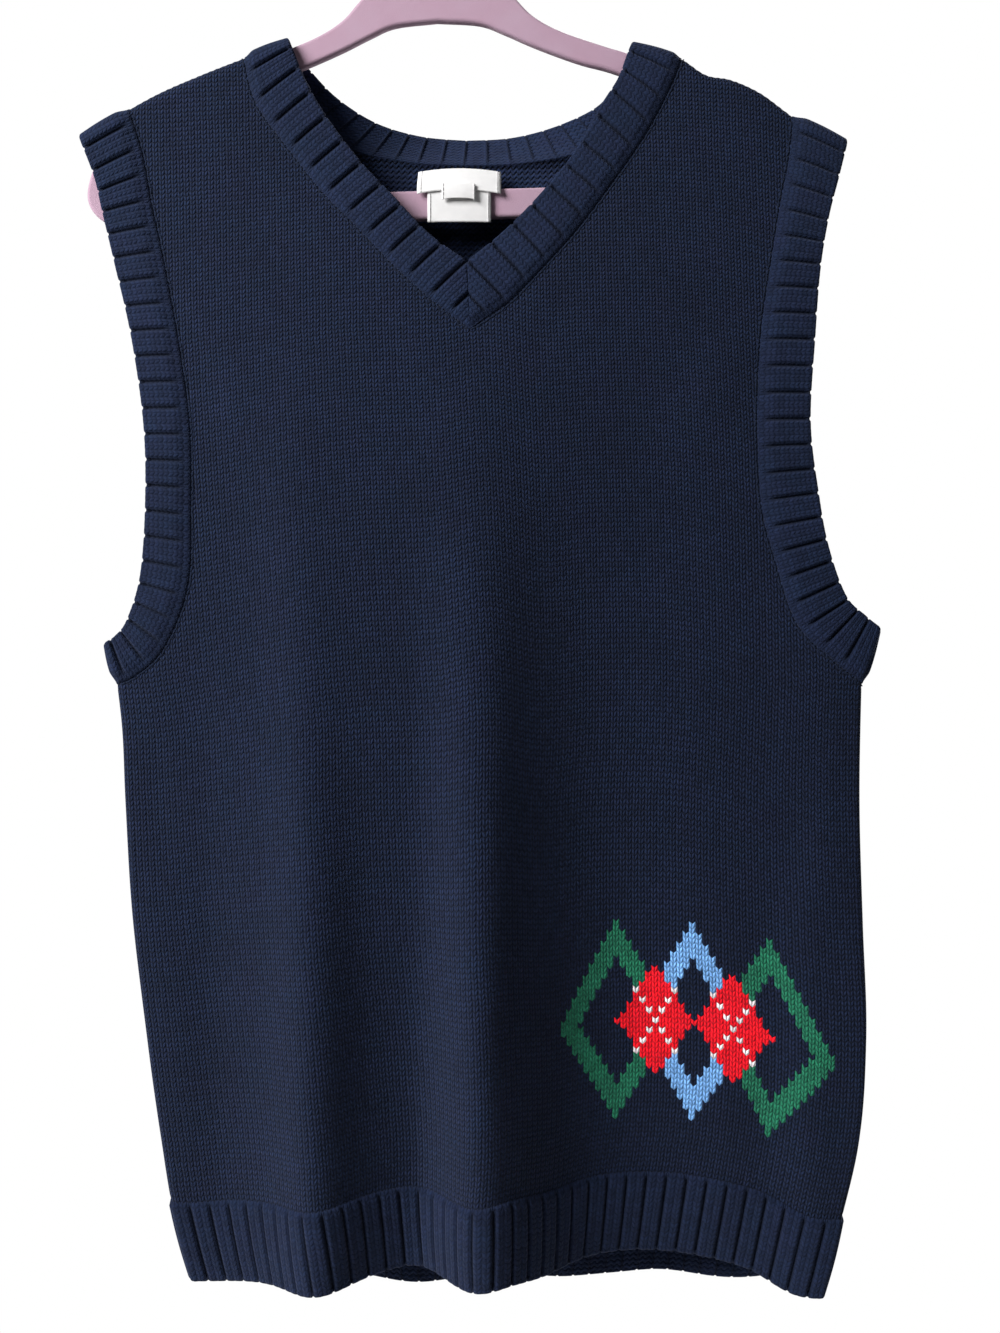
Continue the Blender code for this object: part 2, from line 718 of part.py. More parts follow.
def hanger(frame):
    """A flat hanger with its window, cut from one sheet and rounded at its edges."""
    curve = bpy.data.curves.new("hanger", "CURVE")
    curve.dimensions = "2D"
    curve.fill_mode = "BOTH"
    curve.extrude = HANGER_THICK / 2 - HANGER_ROUND
    curve.bevel_depth = HANGER_ROUND
    curve.bevel_resolution = 1
    curve.offset = -HANGER_ROUND
    for rows in (HANGER_OUTSIDE, HANGER_WINDOW):
        outline = mirrored_outline(rows)
        add_spline(curve, [(x, z, 0.0) for x, z in outline], True)
    obj = add_object("hanger", curve, "pink_flock")
    obj.rotation_euler = (math.pi / 2, 0.0, 0.0)
    obj.parent = frame


def hook(frame):
    """Wire bent to a hook, and the collar that it stands on."""
    radius = HOOK_INSIDE + HOOK_WIRE / 2
    turn = np.linspace(*HOOK_BEND, HOOK_BEND_STEPS)
    bend = np.stack([radius * np.cos(turn), np.zeros(len(turn)), radius * np.sin(turn)], -1)
    t = np.linspace(0, len(HOOK_STEM["x"]) - 1, 11)
    count = np.arange(len(HOOK_STEM["x"]))
    stem_x, stem_drop = (smooth(count, HOOK_STEM[name], t) for name in ("x", "drop"))
    stem = np.stack([stem_x, np.zeros(len(t)), HOOK_INSIDE - stem_drop], -1)
    curve = bpy.data.curves.new("hook", "CURVE")
    curve.dimensions = "3D"
    curve.bevel_depth = HOOK_WIRE / 2
    curve.bevel_resolution = 2
    curve.use_fill_caps = True
    add_spline(curve, np.concatenate([stem, bend]).tolist(), False)
    wire = add_object("hook", curve, "steel")
    wire.parent = frame
    cage = bmesh.new()
    bmesh.ops.create_cone(
        cage, cap_ends=True, segments=24, radius1=COLLAR_RADIUS, radius2=COLLAR_RADIUS, depth=COLLAR_HEIGHT
    )
    mesh = bpy.data.meshes.new("hook_collar")
    cage.to_mesh(mesh)
    cage.free()
    collar = add_object("hook_collar", mesh, "steel")
    head_top = HOOK_INSIDE - HANGER_OUTSIDE["drop"][0]
    collar.location = (0.0, 0.0, head_top + 0.0003 + COLLAR_HEIGHT / 2)
    collar.parent = frame
    rounding = collar.modifiers.new("rounded rim", "BEVEL")
    rounding.width = 0.0006
    rounding.segments = 2


def main():
    for obj in list(bpy.data.objects):
        bpy.data.objects.remove(obj, do_unlink=True)
    parts = bpy.data.collections.new(PARTS)
    bpy.context.scene.collection.children.link(parts)
    for face in ("front", "back"):
        panel(face)
        hem_rib(face)
    neck_band()
    for edge in ("left", "right"):
        armhole_band(edge)
    for name, sizes in LABELS.items():
        label(name, **sizes)
    frame = bpy.data.objects.new("hanger_frame", None)
    frame.location = (0.0, 0.0, -HOOK_INSIDE)
    frame.rotation_euler = (0.0, -HANGER_TILT, 0.0)
    parts.objects.link(frame)
    hanger(frame)
    hook(frame)


main()
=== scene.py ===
"""The looks of a child's knitted V-neck sweater vest on a flocked clothes hanger.

Metres, +Z up, the front towards -Y, and the origin inside the hook's crown. A "drop" is a height below
it. The cloth keeps the form of its solids and gains soft creases; it is knitted in stitches, about 3 mm
wide and 2.45 mm high, whose columns and rows follow the cloth over its folds.
"""

import math
from functools import partialmethod

import bmesh
import bpy
import numpy as np
from mathutils import Matrix, Vector
from mathutils.geometry import delaunay_2d_cdt
from mathutils.kdtree import KDTree


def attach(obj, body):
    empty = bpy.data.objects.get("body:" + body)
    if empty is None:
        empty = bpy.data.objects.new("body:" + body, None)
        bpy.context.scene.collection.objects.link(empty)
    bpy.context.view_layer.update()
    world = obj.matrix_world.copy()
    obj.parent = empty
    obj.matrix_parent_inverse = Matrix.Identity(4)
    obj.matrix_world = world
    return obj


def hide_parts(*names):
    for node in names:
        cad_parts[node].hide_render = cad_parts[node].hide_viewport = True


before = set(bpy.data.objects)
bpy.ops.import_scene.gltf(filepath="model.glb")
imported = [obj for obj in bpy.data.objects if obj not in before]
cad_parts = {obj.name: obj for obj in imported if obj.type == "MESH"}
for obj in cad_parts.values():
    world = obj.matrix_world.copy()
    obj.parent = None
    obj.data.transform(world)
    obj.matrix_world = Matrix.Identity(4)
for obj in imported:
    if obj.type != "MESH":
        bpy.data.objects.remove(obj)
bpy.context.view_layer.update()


def table(columns, *rows):
    """The named columns of a short table. Its numbers count ten-thousandths: 10 is a millimetre."""
    return dict(zip(columns.split(), np.array(rows).T / 10000))


# ---- sizes that the solids share

SIGN = {"front": -1.0, "back": 1.0}
SIDE_NAMES = ("left", "right")
WALL = 0.0025
HEM_BAND = 0.0385
HEM_DROP = {"left": 0.7308, "right": 0.7354}
HEM_LIFT = {"front": 0.022, "back": -0.005}
HEM_CURVE = 2.4
HEM_WAVE = {
    "front": table(
        "across lower",
        (-10000, -30), (-9000, 10), (-7500, 35), (-3300, 35), (-1200, 30), (0, 0), (1400, 25), (2700, 0),
        (6000, -40), (7400, -35), (9000, 0), (10000, -45),
    ),
    "back": table(
        "across lower",
        (-10000, -30), (-8500, 0), (-7000, 10), (-4500, 40), (0, 45), (1700, 35), (3000, 5), (8500, 0),
        (10000, -40),
    ),
}

SHOULDERS = table(
    "x drop",
    (-1766, 1589), (-1519, 1446), (-1393, 1377), (-1150, 1271), (-941, 1188), (-719, 1101), (996, 1120),
    (1247, 1194), (1363, 1272), (1489, 1298), (1630, 1360), (1801, 1482), (2072, 1612),
)
SIDES = table(
    "drop left right",
    (4330, -1578, 2135), (4520, -1556, 2129), (4900, -1538, 2120), (5500, -1500, 2130),
    (6060, -1432, 2141), (6570, -1360, 2102), (6935, -1298, 2020), (7330, -1190, 1922),
)
EDGES = "seam_x seam_drop free_x free_drop"
ARMHOLES = {
    "left": table(
        EDGES,
        (-1519, 1446, -1766, 1589), (-1443, 1689, -1685, 1799), (-1398, 1935, -1640, 1990),
        (-1341, 2186, -1585, 2215), (-1261, 2597, -1493, 2600), (-1197, 3046, -1428, 3040),
        (-1190, 3437, -1418, 3412), (-1205, 3841, -1445, 3785), (-1323, 4141, -1512, 4005),
        (-1465, 4280, -1572, 4085), (-1578, 4330, -1634, 4124),
    ),
    "right": table(
        EDGES,
        (1801, 1482, 2072, 1612), (1774, 1719, 2022, 1810), (1730, 1940, 1971, 2005),
        (1678, 2246, 1926, 2262), (1625, 2600, 1896, 2600), (1605, 3036, 1869, 3030),
        (1625, 3440, 1909, 3400), (1696, 3728, 1955, 3650), (1800, 4030, 2040, 3890),
        (1988, 4220, 2140, 3990), (2135, 4330, 2222, 4054),
    ),
}
NECKS = {
    "front": {
        "left": table(
            EDGES,
            (-941, 1188, -719, 1101), (-900, 1375, -675, 1215), (-840, 1500, -630, 1322),
            (-716, 1665, -530, 1499), (-535, 1898, -355, 1735), (-372, 2068, -196, 1907),
            (-175, 2280, -7, 2115), (-10, 2435, 175, 2252), (190, 2591, 190, 2591),
        ),
        "right": table(
            EDGES,
            (1247, 1194, 996, 1120), (1195, 1330, 965, 1205), (1117, 1490, 920, 1322),
            (1030, 1643, 833, 1460), (890, 1845, 705, 1690), (715, 2085, 535, 1905),
            (530, 2298, 352, 2101), (375, 2460, 175, 2252), (190, 2591, 190, 2591),
        ),
    },
    "back": {
        "left": table(
            EDGES,
            (-941, 1188, -719, 1101), (-850, 1330, -635, 1195), (-685, 1485, -500, 1320),
            (-440, 1600, -310, 1420), (-140, 1660, -90, 1468), (150, 1675, 160, 1483),
        ),
        "right": table(
            EDGES,
            (1247, 1194, 996, 1120), (1170, 1330, 945, 1230), (1020, 1500, 845, 1355),
            (750, 1612, 650, 1430), (440, 1665, 410, 1475), (150, 1675, 160, 1483),
        ),
    },
}
NECK_LEAN = 0.016  # how far the back of the neck band leans back at its free edge

DEPTH = table(
    "drop edge front back",
    (1100, 66, 0, 0), (1500, 66, 20, 60), (1900, 68, 45, 85), (2300, 72, 90, 80), (2800, 80, 110, 70),
    (4300, 80, 130, 70), (5500, 90, 130, 75), (6500, 105, 110, 80), (7400, 120, 85, 80),
)
FOLDS = {
    "front": table(
        "top_x top_drop hem_x width depth",
        (200, 2250, 310, 270, 360), (-700, 4000, -520, 200, 190), (920, 3200, 1000, 380, -40),
        (1900, 3000, 1870, 190, 70), (-1100, 3000, -1000, 140, -20),
    ),
    "back": table(
        "top_x top_drop hem_x width depth",
        (-600, 3300, -520, 240, 70), (400, 2600, 340, 300, 90), (1250, 3800, 1200, 220, 60),
        (-50, 5000, -80, 180, -30),
    ),
}

# Labels inside the back neck
LABEL_WALL = 0.001
LABEL_DRAPE = table(
    "y drop",
    (108, 1690), (85, 1722), (35, 1775), (-10, 1818), (-34, 1862), (-38, 1930), (-40, 2022),
)
LABEL_CLOTH = 0.0007  # thickness of what shows
LABEL_BOW = 0.0006  # how far the lower corners curl back
LABEL_NET = (40, 24)  # points down and across
LABELS = {  # left and right edge, start and end as shares of the drape, lift off it, and sag
    "label_care": (-0.0025, 0.0292, 0.20, 1.00, 0.0000, 0.0000),
    "label_main": (-0.0077, 0.0342, 0.12, 0.60, 0.0013, 0.0018),
    "label_size": (0.0047, 0.0215, 0.55, 0.71, 0.0026, 0.0005),
}

# Hanger and hook
HANGER_TILT = math.radians(1.6)
HANGER_THICK = 0.0052
HANGER_ROUND = 0.0017
HANGER_OUTSIDE = table(
    "x drop",
    (0, 760), (150, 762), (270, 790), (380, 885), (480, 990), (620, 1072), (840, 1154), (960, 1195),
    (1250, 1320), (1530, 1442), (1650, 1540), (1735, 1670), (1780, 1815), (1755, 1910), (1670, 1975),
    (1550, 1996), (800, 1996), (0, 1996),
)
HANGER_WINDOW = table(
    "x drop",
    (0, 1003), (210, 1022), (335, 1071), (464, 1132), (590, 1185), (720, 1234), (900, 1290), (1200, 1425),
    (1480, 1555), (1600, 1650), (1620, 1760), (1540, 1835), (1450, 1851), (750, 1851), (0, 1851),
)
HOOK_WIRE = 0.0035
HOOK_INSIDE = 0.017
HOOK_BEND = (math.radians(-48), math.radians(205))
HOOK_STEM = table(
    "x drop",
    (0, 723), (0, 560), (0, 470), (12, 425), (40, 385), (83, 347),
)
COLLAR_RADIUS = 0.0042
COLLAR_HEIGHT = 0.0030
COLLAR_RIM = 0.0007  # rounding of its edges
COLLAR_SIDES = 48
COLLAR_CROWN = 0.0002  # rise of its top towards the wire
HOOK_PLAY = 0.0003  # between the wire and the collar's bore, and under the collar

# ---- sizes of the looks

COURSE = 0.00245  # height of a stitch
WALE = 0.0030  # nominal width of a stitch, which the nets of points go by
WALES = 128  # stitches from side seam to side seam
SEAM_LEVEL = (HEM_DROP["left"] + HEM_DROP["right"]) / 2 - HEM_BAND
ROW_LIFT = table(
    "drop share",
    (1100, 3000), (2000, 8000), (3200, 16000), (4300, 16000), (5500, 11000), (6900, 10000), (7500, 10000),
)
ROW_SAG = {"x": 0.175, "width": 0.030, "start": 0.45, "full": 0.56, "fall": 0.0006}  # of the front's rows
CENTRE_WALE = table(
    "drop x",
    (1100, 153), (2600, 190),
)
MAP_ROW, MAP_COLUMN = 0.004, 0.001  # steps of the table that lays the cloth flat
MAP_START = (-0.192, 0.100)
MAP_END = (0.238, 0.752)
FOLD_WIDTH = {"side": 0.36, "shoulder": 1.0}  # width of a folded edge, as a share of its depth

# Soft creases besides the long folds: ridges, and troughs with a height below zero
CREASES = {
    "front": table(
        "x1 drop1 x2 drop2 width height",
        (-1380, 2050, -750, 3300, 120, 11), (1720, 2150, 1180, 3450, 130, 10),
        (-1400, 4250, -1220, 6000, 100, -13), (2000, 4250, 1680, 5600, 100, -11),
        (-680, 2400, -460, 7600, 180, 56), (-1200, 3000, -1120, 9000, 130, -16),
        (-520, 1500, -460, 10500, 450, 80), (-40, 3400, -10, 10500, 160, -80),
        (390, 3400, 420, 10500, 140, -50), (960, 1400, 1240, 10500, 450, -66),
        (2210, 1400, 2210, 11000, 340, 88), (2130, 3600, 2080, 10000, 130, 38),
        (1500, 5000, 1460, 7200, 110, 8), (-500, 2150, 0, 3000, 100, -7), (800, 2150, 400, 3000, 100, -6),
    ),
    "back": table(
        "x1 drop1 x2 drop2 width height",
        (-1380, 1900, -600, 3100, 130, 11), (1720, 2000, 1000, 3250, 130, 12),
        (-1400, 4250, -1050, 6000, 110, -14), (1960, 4250, 1600, 6100, 110, -13),
        (-200, 2000, -300, 4200, 160, 9), (700, 2300, 780, 5000, 140, -12),
        (-950, 4500, -880, 6900, 120, -11), (1650, 5000, 1580, 7000, 120, 12),
        (100, 5600, 40, 7000, 120, 12),
    ),
}
CREASE_RISE = 2.5  # how steeply a crease rises from its two ends
UNEVEN = 0.00025  # height of slow waves over the whole cloth

# Knitting of the panels
NET = {"outside": (0.5, 2 / 3), "inside": (2.0, 2.4)}  # stitches across and down between points
NET_MARGIN = {"outside": 0.0009, "inside": 0.0030}
RIM_POINTS = {"band": 8, "hem": 6}  # points of a panel's edge for each rib of the band on it
WALE_RELIEF = 0.00020  # height of a column of stitches
RELIEF_MEAN = 0.6  # share of it that lies below the cloth's mean surface
SEAM_DIP = {"band": 0.00015, "fold": 0.00025}
SEAM_DIP_WIDTH = 0.0035
LINE_STEP = 0.0016  # points along the plain seams
FINE = 2400  # places through which a seam's length is measured

# Ribs: knitted columns, then one reversed column that lies in the groove
RIBBING = {
    kind: dict(zip(("ribs", "knitted", "groove", "start", "rise", "rows", "inner_rows"), sizes))
    for kind, sizes in {
        "armhole": (24, 3, 0.095, 0.0075, 0.0016, 20, 9),
        "neck": (11, 3, 0.080, 0.0055, 0.0016, 20, 9),
        "back_neck": (11, 3, 0.075),
        "hem": (41, 2, 0.095, 0.0022, 0.0014, 32, 9),
    }.items()
}
MITRE_RIBS = 2
MITRE_LIP = 0.1  # rounding of the free edge where the two halves cross
RIB_CAMBER = 0.0006  # bow of a band across its width
RIB_RELIEF = 1.3 * WALE_RELIEF
RIB_ROOT = 0.12  # height of a rib at the seam, as a share
RIB_BACK = 0.55  # height of a rib on the inside, as a share
RIB_END = 0.0006  # length over which the grooves come up again before the free edge
RIB_BITE = 0.0006  # how far the grooves draw the free edge in
LIP_TURNS = np.radians((30, 60, 90, 120, 150))
GROOVE_BOTTOM = 0.3  # share of a groove that is level
BACK_GROOVE_SHADE = 0.75  # painted shade of a groove on the inside, as a share of the shade outside

# Linking chains and sewing
LINK = {"Link Length": 0.0029, "Link Width": 0.0010, "Link Height": 0.0005, "Turn": 0.30, "Seed": 7}
LABEL_THREAD = {"Link Length": 0.0019, "Link Width": 0.0005, "Link Height": 0.0005, "Turn": 0.10, "Seed": 3}
LINK_SHIFT = 0.0011  # of the chain off the band, onto the panel
LINK_ENDS = 0.035  # share of a seam that a chain leaves free at a folded edge
LINK_MIDDLE = 0.99  # share of a neck's half where its chain turns to the other half
LINK_OVERLAP = 1.12  # length of a link over the space between two

# Pattern of diamonds knitted into the front: the middle's place, and the rest in stitches
DIAMOND_PLACE = (0.1294, 0.5992)
DIAMOND_APART = 12
OPEN_DIAMOND = {"slope": 2.0, "reach": 15.9, "line": 3.6}
SOLID_DIAMOND = {"slope": 1.8, "reach": 10.9}
CROSS = {"slope": 2.0, "reach": 3.5}

COLOURS = {
    "navy": (0.010, 0.019, 0.049),
    # Painted shade of the navy knit: in its gaps, its grooves and the low fibres of the linking yarn
    "navy_painted_shade": (0.0016, 0.0026, 0.0060),
    "navy_warm": (0.024, 0.013, 0.052),
    "green": (0.015, 0.150, 0.078),
    "blue": (0.190, 0.420, 0.820),
    "red": (0.920, 0.007, 0.014),
    "white": (0.900, 0.820, 0.840),
}
# Each finish's own colour, then a darker copy of it that is painted shade; the floor's two tones are its
# grain.
TONES = {
    "thread": ((0.66, 0.65, 0.64), (0.42, 0.41, 0.42)),
    "label": ((0.83, 0.82, 0.81), (0.62, 0.61, 0.62)),
    "pink": ((0.405, 0.280, 0.360), (0.36, 0.20, 0.27)),
    "steel": ((0.62, 0.62, 0.63), (0.45, 0.45, 0.47)),
    "floor": ((0.80, 0.80, 0.80), (0.86, 0.86, 0.86)),
}
# Depth of each finish's finest relief, and how many patches or fibres it has to a metre
RELIEF = {"knit": 1e-3, "linking": 3e-4, "thread": 8e-5, "label": 6e-5, "pink": 2.5e-4, "steel": 3e-5}
FIBRES = {"knit": 1400.0, "linking": 1900.0, "thread": 2600.0, "pink": 3200.0}
PATCHES = {"drift": 28.0, "dye": 75.0, "label": 260.0, "pink": 60.0, "floor": 30.0}
DRAWN = (900.0, 3500.0, 900.0)  # lines of the steel, to a metre
WEFT, WARP = 0.00042, 0.00034  # spacing of the label's threads

# Studio
LAMPS = {
    "key": {"place": (-1.17, -0.86, 0.34), "size": 0.9, "watts": 57.0},
    "fill": {"place": (0.80, -0.90, 0.90), "size": 1.4, "watts": 2.0},
    "back": {"place": (0.90, 1.40, 0.30), "size": 1.8, "watts": 60.0},
}
LAMP_AIM = Vector((0.02, 0.0, -0.42))
CAMERA_PLACE = (0.0337, -0.620, -0.424)
CAMERA_LENS = 33.29
FLOOR_DROP = 1.30


# ---- form of the cloth


def smooth(places, values, at):
    """A smooth curve through a table's rows, read at the given places."""
    slopes = np.gradient(values, places)
    at = np.clip(at, places[0], places[-1])
    low = np.clip(np.searchsorted(places, at) - 1, 0, len(places) - 2)
    width = places[low + 1] - places[low]
    t = (at - places[low]) / width
    start = values[low] * (1 + 2 * t) + slopes[low] * width * t
    end = values[low + 1] * (3 - 2 * t) - slopes[low + 1] * width * (1 - t)
    return start * (1 - t) ** 2 + end * t**2


def through(rows, t, *names):
    """Smooth curves through columns of a table, at places counted in its rows."""
    count = np.arange(len(rows[names[0]]))
    return np.stack([smooth(count, rows[name], t) for name in names], -1)


def eased(t):
    """0 below 0, 1 above 1, and a soft step between."""
    t = np.clip(t, 0, 1)
    return t * t * (3 - 2 * t)


def quarter(t):
    """Height of a quarter circle that starts upright at 0 and is level from 1."""
    near = 1 - np.minimum(np.abs(t), 1)
    return np.sign(t) * np.sqrt(1 - near**2)


def fold_table(width):
    """A folded edge of depth 1, as a quarter of an ellipse: places across it, and lengths round it."""
    turn = np.linspace(0, math.pi / 2, 60)
    points = np.stack([width * (1 - np.cos(turn)), np.sin(turn)], -1)
    return points[:, 0], lengths(points)


def side_x(drop, edge):
    hole = ARMHOLES[edge]
    seam, free = hole["seam_drop"][-1], hole["free_drop"][-1]
    share = (drop - seam) / (free - seam)
    fold = hole["seam_x"][-1] + share * (hole["free_x"][-1] - hole["seam_x"][-1])
    return np.where(drop > seam, smooth(SIDES["drop"], SIDES[edge], drop), fold)


def from_side(x, drop, edge):
    corner_x, corner_drop = ARMHOLES[edge]["free_x"][-1], ARMHOLES[edge]["free_drop"][-1]
    inward = (x - side_x(drop, edge)) * (1 if edge == "left" else -1)
    return np.where(drop > corner_drop, inward, np.hypot(x - corner_x, drop - corner_drop))


def across_body(x, drop):
    left, right = (smooth(SIDES["drop"], SIDES[edge], drop) for edge in SIDE_NAMES)
    return np.clip((2 * x - left - right) / (right - left), -1, 1)


def shoulder_drop(x):
    return smooth(SHOULDERS["x"], SHOULDERS["drop"], x)


def edge_depth(drop):
    return smooth(DEPTH["drop"], DEPTH["edge"], drop)


def fold_depth(x, drop, face):
    total = np.zeros(np.broadcast(x, drop).shape)
    for top_x, top_drop, hem_x, width, depth in zip(*FOLDS[face].values()):
        share = np.clip((drop - top_drop) / (HEM_DROP["left"] - top_drop), 0, 1)
        middle = top_x + (hem_x - top_x) * share
        total += depth * share**2 * (3 - 2 * share) * np.exp(-(((x - middle) / width) ** 2))
    return total


def crease_depth(x, drop, face):
    """Soft ridges and troughs along short lines, uneven along their length, and slow waves."""
    waves = np.sin(58 * x + 2.1 * np.sin(19 * drop)), np.sin(47 * drop + 1.7 * np.sin(31 * x) + 0.6)
    total = UNEVEN * waves[0] * waves[1]
    for number, (x1, drop1, x2, drop2, width, height) in enumerate(zip(*CREASES[face].values())):
        run_x, run_drop = x2 - x1, drop2 - drop1
        long = math.hypot(run_x, run_drop)
        share = ((x - x1) * run_x + (drop - drop1) * run_drop) / long**2
        off = ((x - x1) * run_drop - (drop - drop1) * run_x) / long
        off = off - 0.25 * width * np.sin(5.0 * share + number)
        body = eased(CREASE_RISE * share) * eased(CREASE_RISE * (1 - share))
        body = body * (0.8 + 0.2 * np.sin(11 * share + 2 * number))
        total = total + height * body * np.exp(-((off / width) ** 2))
    return total


def plain_depth(x, drop, face):
    """Distance of the cloth's outside from the hanger's plane, before its edges are folded over."""
    bulge = smooth(DEPTH["drop"], DEPTH[face], drop)
    crown = np.cos(0.5 * math.pi * across_body(x, drop))
    return edge_depth(drop) + bulge * crown + fold_depth(x, drop, face) + crease_depth(x, drop, face)


def depth_of(x, drop, face):
    edge = edge_depth(drop)
    rounding = quarter((drop - shoulder_drop(x)) / edge)
    for side in SIDE_NAMES:
        rounding = rounding * quarter(from_side(x, drop, side) / (FOLD_WIDTH["side"] * edge))
    return plain_depth(x, drop, face) * rounding


def cloth(x, drop, face):
    """Points on the outside of the cloth."""
    x, drop = np.broadcast_arrays(x, drop)
    return np.stack([x, SIGN[face] * depth_of(x, drop, face), -drop], -1)


def facing(x, drop, face):
    """Directions straight out of the cloth."""
    step = 1e-6
    along_x = depth_of(x + step, drop, face) - depth_of(x - step, drop, face)
    along_drop = depth_of(x, drop + step, face) - depth_of(x, drop - step, face)
    return unit(np.stack([-along_x, np.full(np.shape(along_x), 2 * step * SIGN[face]), along_drop], -1))


def unit(vectors):
    return vectors / np.maximum(np.linalg.norm(vectors, axis=-1, keepdims=True), 1e-12)


def lengths(points):
    """Distance along a row of points, from its start."""
    steps = np.linalg.norm(np.diff(points, axis=0), axis=1)
    return np.concatenate([[0.0], np.cumsum(steps)])


def hem_drop(across, face):
    level = HEM_DROP["left"] + (HEM_DROP["right"] - HEM_DROP["left"]) * (1 + across) / 2
    wave = HEM_WAVE[face]
    lower = smooth(wave["across"], wave["lower"], across)
    return level + lower - HEM_LIFT[face] * (1 - np.abs(across) ** HEM_CURVE)


# ---- columns and rows of stitches

FOLD = {kind: fold_table(width) for kind, width in FOLD_WIDTH.items()}
FOLD_OVER = {kind: run[-1] - FOLD_WIDTH[kind] for kind, (_, run) in FOLD.items()}  # length that a fold adds


def read(grid, start, along, drop):
    """A table read between its rows and columns."""
    column = np.clip((along - start) / MAP_COLUMN, 0, grid.shape[1] - 1.001)
    row = np.clip((drop - MAP_START[1]) / MAP_ROW, 0, grid.shape[0] - 1.001)
    c, r = column.astype(int), row.astype(int)
    fc, fr = column - c, row - r
    upper = grid[r, c] * (1 - fc) + grid[r, c + 1] * fc
    lower = grid[r + 1, c] * (1 - fc) + grid[r + 1, c + 1] * fc
    return upper * (1 - fr) + lower * fr


def laid_flat(face):
    """Tables that lay one face of the cloth out flat: lengths across it at each height, and back again."""
    drops = np.arange(MAP_START[1], MAP_END[1], MAP_ROW)
    xs = np.arange(MAP_START[0], MAP_END[0], MAP_COLUMN)
    x, drop = np.meshgrid(xs, drops)
    steps = np.hypot(MAP_COLUMN, np.diff(plain_depth(x, drop, face), axis=1))
    arc = np.concatenate([np.zeros((len(drops), 1)), np.cumsum(steps, axis=1)], axis=1)
    arcs = np.arange(0, arc.max(), MAP_COLUMN)
    back = np.stack([np.interp(arcs, row, xs) for row in arc])
    fold = FOLD_OVER["side"] * edge_depth(drops)
    left, right = (read(arc, xs[0], side_x(drops, edge), drops) for edge in SIDE_NAMES)
    left, right = left - fold, right + fold
    under = SIDES["drop"][0]
    half = np.interp(under, drops, (left + right) / 2)
    half_x = float(read(back, 0.0, np.array(half), np.array(under)))
    centre_x = np.interp(drops, [*CENTRE_WALE["drop"], under], [*CENTRE_WALE["x"], half_x])
    below = drops >= under
    each = (right - left) / WALES
    return {
        "arc": arc,
        "back": back,
        "drops": drops,
        "left": left,
        "right": right,
        "wale": np.where(below, each, np.interp(under, drops, each)),
        "middle": np.where(below, (left + right) / 2, read(arc, xs[0], centre_x, drops)),
    }


FLAT = {face: laid_flat(face) for face in SIGN}


def row_of(name, drop, face):
    return np.interp(drop, FLAT[face]["drops"], FLAT[face][name])


def course_level(x, drop, face):
    """Drop of the hem's seam under a place, as far as the rows at that height follow it."""
    share = smooth(ROW_LIFT["drop"], ROW_LIFT["share"], drop)
    level = SEAM_LEVEL + share * (hem_drop(across_body(x, drop), face) - HEM_BAND - SEAM_LEVEL)
    if face == "front":
        reach = eased((drop - ROW_SAG["start"]) / (ROW_SAG["full"] - ROW_SAG["start"]))
        level = level + ROW_SAG["fall"] * reach * np.exp(-(((x - ROW_SAG["x"]) / ROW_SAG["width"]) ** 2))
    return level


def folded_over(inward, edge, kind):
    """What a folded edge adds to the flat distance from it: nothing inside, and most at the fold."""
    near = np.clip(inward / edge, 0, FOLD_WIDTH[kind])
    return edge * (np.interp(near, *FOLD[kind]) - near - FOLD_OVER[kind])


def stitches_at(x, drop, face):
    """Column and row of the stitch at a place, counted from the centre column and the hem's seam."""
    edge = edge_depth(drop)
    arc = read(FLAT[face]["arc"], MAP_START[0], x, drop)
    sides = [folded_over(from_side(x, drop, side), edge, "side") for side in SIDE_NAMES]
    top = folded_over(drop - shoulder_drop(x), edge, "shoulder")
    u = (arc - row_of("middle", drop, face) + sides[0] - sides[1]) / row_of("wale", drop, face)
    return u, (course_level(x, drop, face) - drop - top) / COURSE


def place_of(u, v, face):
    """The place of a stitch, the other way round."""
    drop = np.clip(SEAM_LEVEL - v * COURSE, MAP_START[1], None)
    for _ in range(5):
        edge = edge_depth(drop)
        along = u * row_of("wale", drop, face) + row_of("middle", drop, face)
        x = read(FLAT[face]["back"], 0.0, along, drop)
        across, run = FOLD["side"]
        for side, inward in (("left", 1), ("right", -1)):
            within = inward * (along - row_of(side, drop, face))
            turned = side_x(drop, side) + inward * edge * np.interp(within / edge, run, across)
            folded = (within < edge * run[-1]) & (drop > ARMHOLES[side]["free_drop"][-1])
            x = np.where(folded, turned, x)
        level = course_level(x, drop, face) - v * COURSE
        top = shoulder_drop(x)
        across, run = FOLD["shoulder"]
        within = level - top + FOLD_OVER["shoulder"] * edge
        turned = top + edge * np.interp(within / edge, run, across)
        drop = np.where(within < edge * run[-1], turned, level)
    return x, drop


# ---- node trees


class Wire:
    """An output in a node tree. Arithmetic with it makes math nodes."""

    def __init__(self, socket):
        self.socket, self.tree = socket, socket.id_data

    def made(self, operation, *others, clamp=False):
        return calc(operation, self, *others, clamp=clamp)

    def __rsub__(self, other):
        return calc("SUBTRACT", other, self)

    __add__ = partialmethod(made, "ADD")
    __sub__ = partialmethod(made, "SUBTRACT")
    __mul__ = partialmethod(made, "MULTIPLY")
    __pow__ = partialmethod(made, "POWER")
    __abs__ = partialmethod(made, "ABSOLUTE")
    line = partialmethod(made, "MULTIPLY_ADD")  # times a slope, plus a start


def calc(operation, *values, clamp=False):
    """A math node. Values are wires or numbers."""
    tree = next(value.tree for value in values if isinstance(value, Wire))
    node = placed(tree, "ShaderNodeMath", operation=operation, use_clamp=clamp)
    for socket, value in zip(node.inputs, values):
        feed(socket, value)
    return Wire(node.outputs[0])


def feed(socket, value):
    if isinstance(value, Wire):
        value.tree.links.new(value.socket, socket)
    else:
        socket.default_value = value


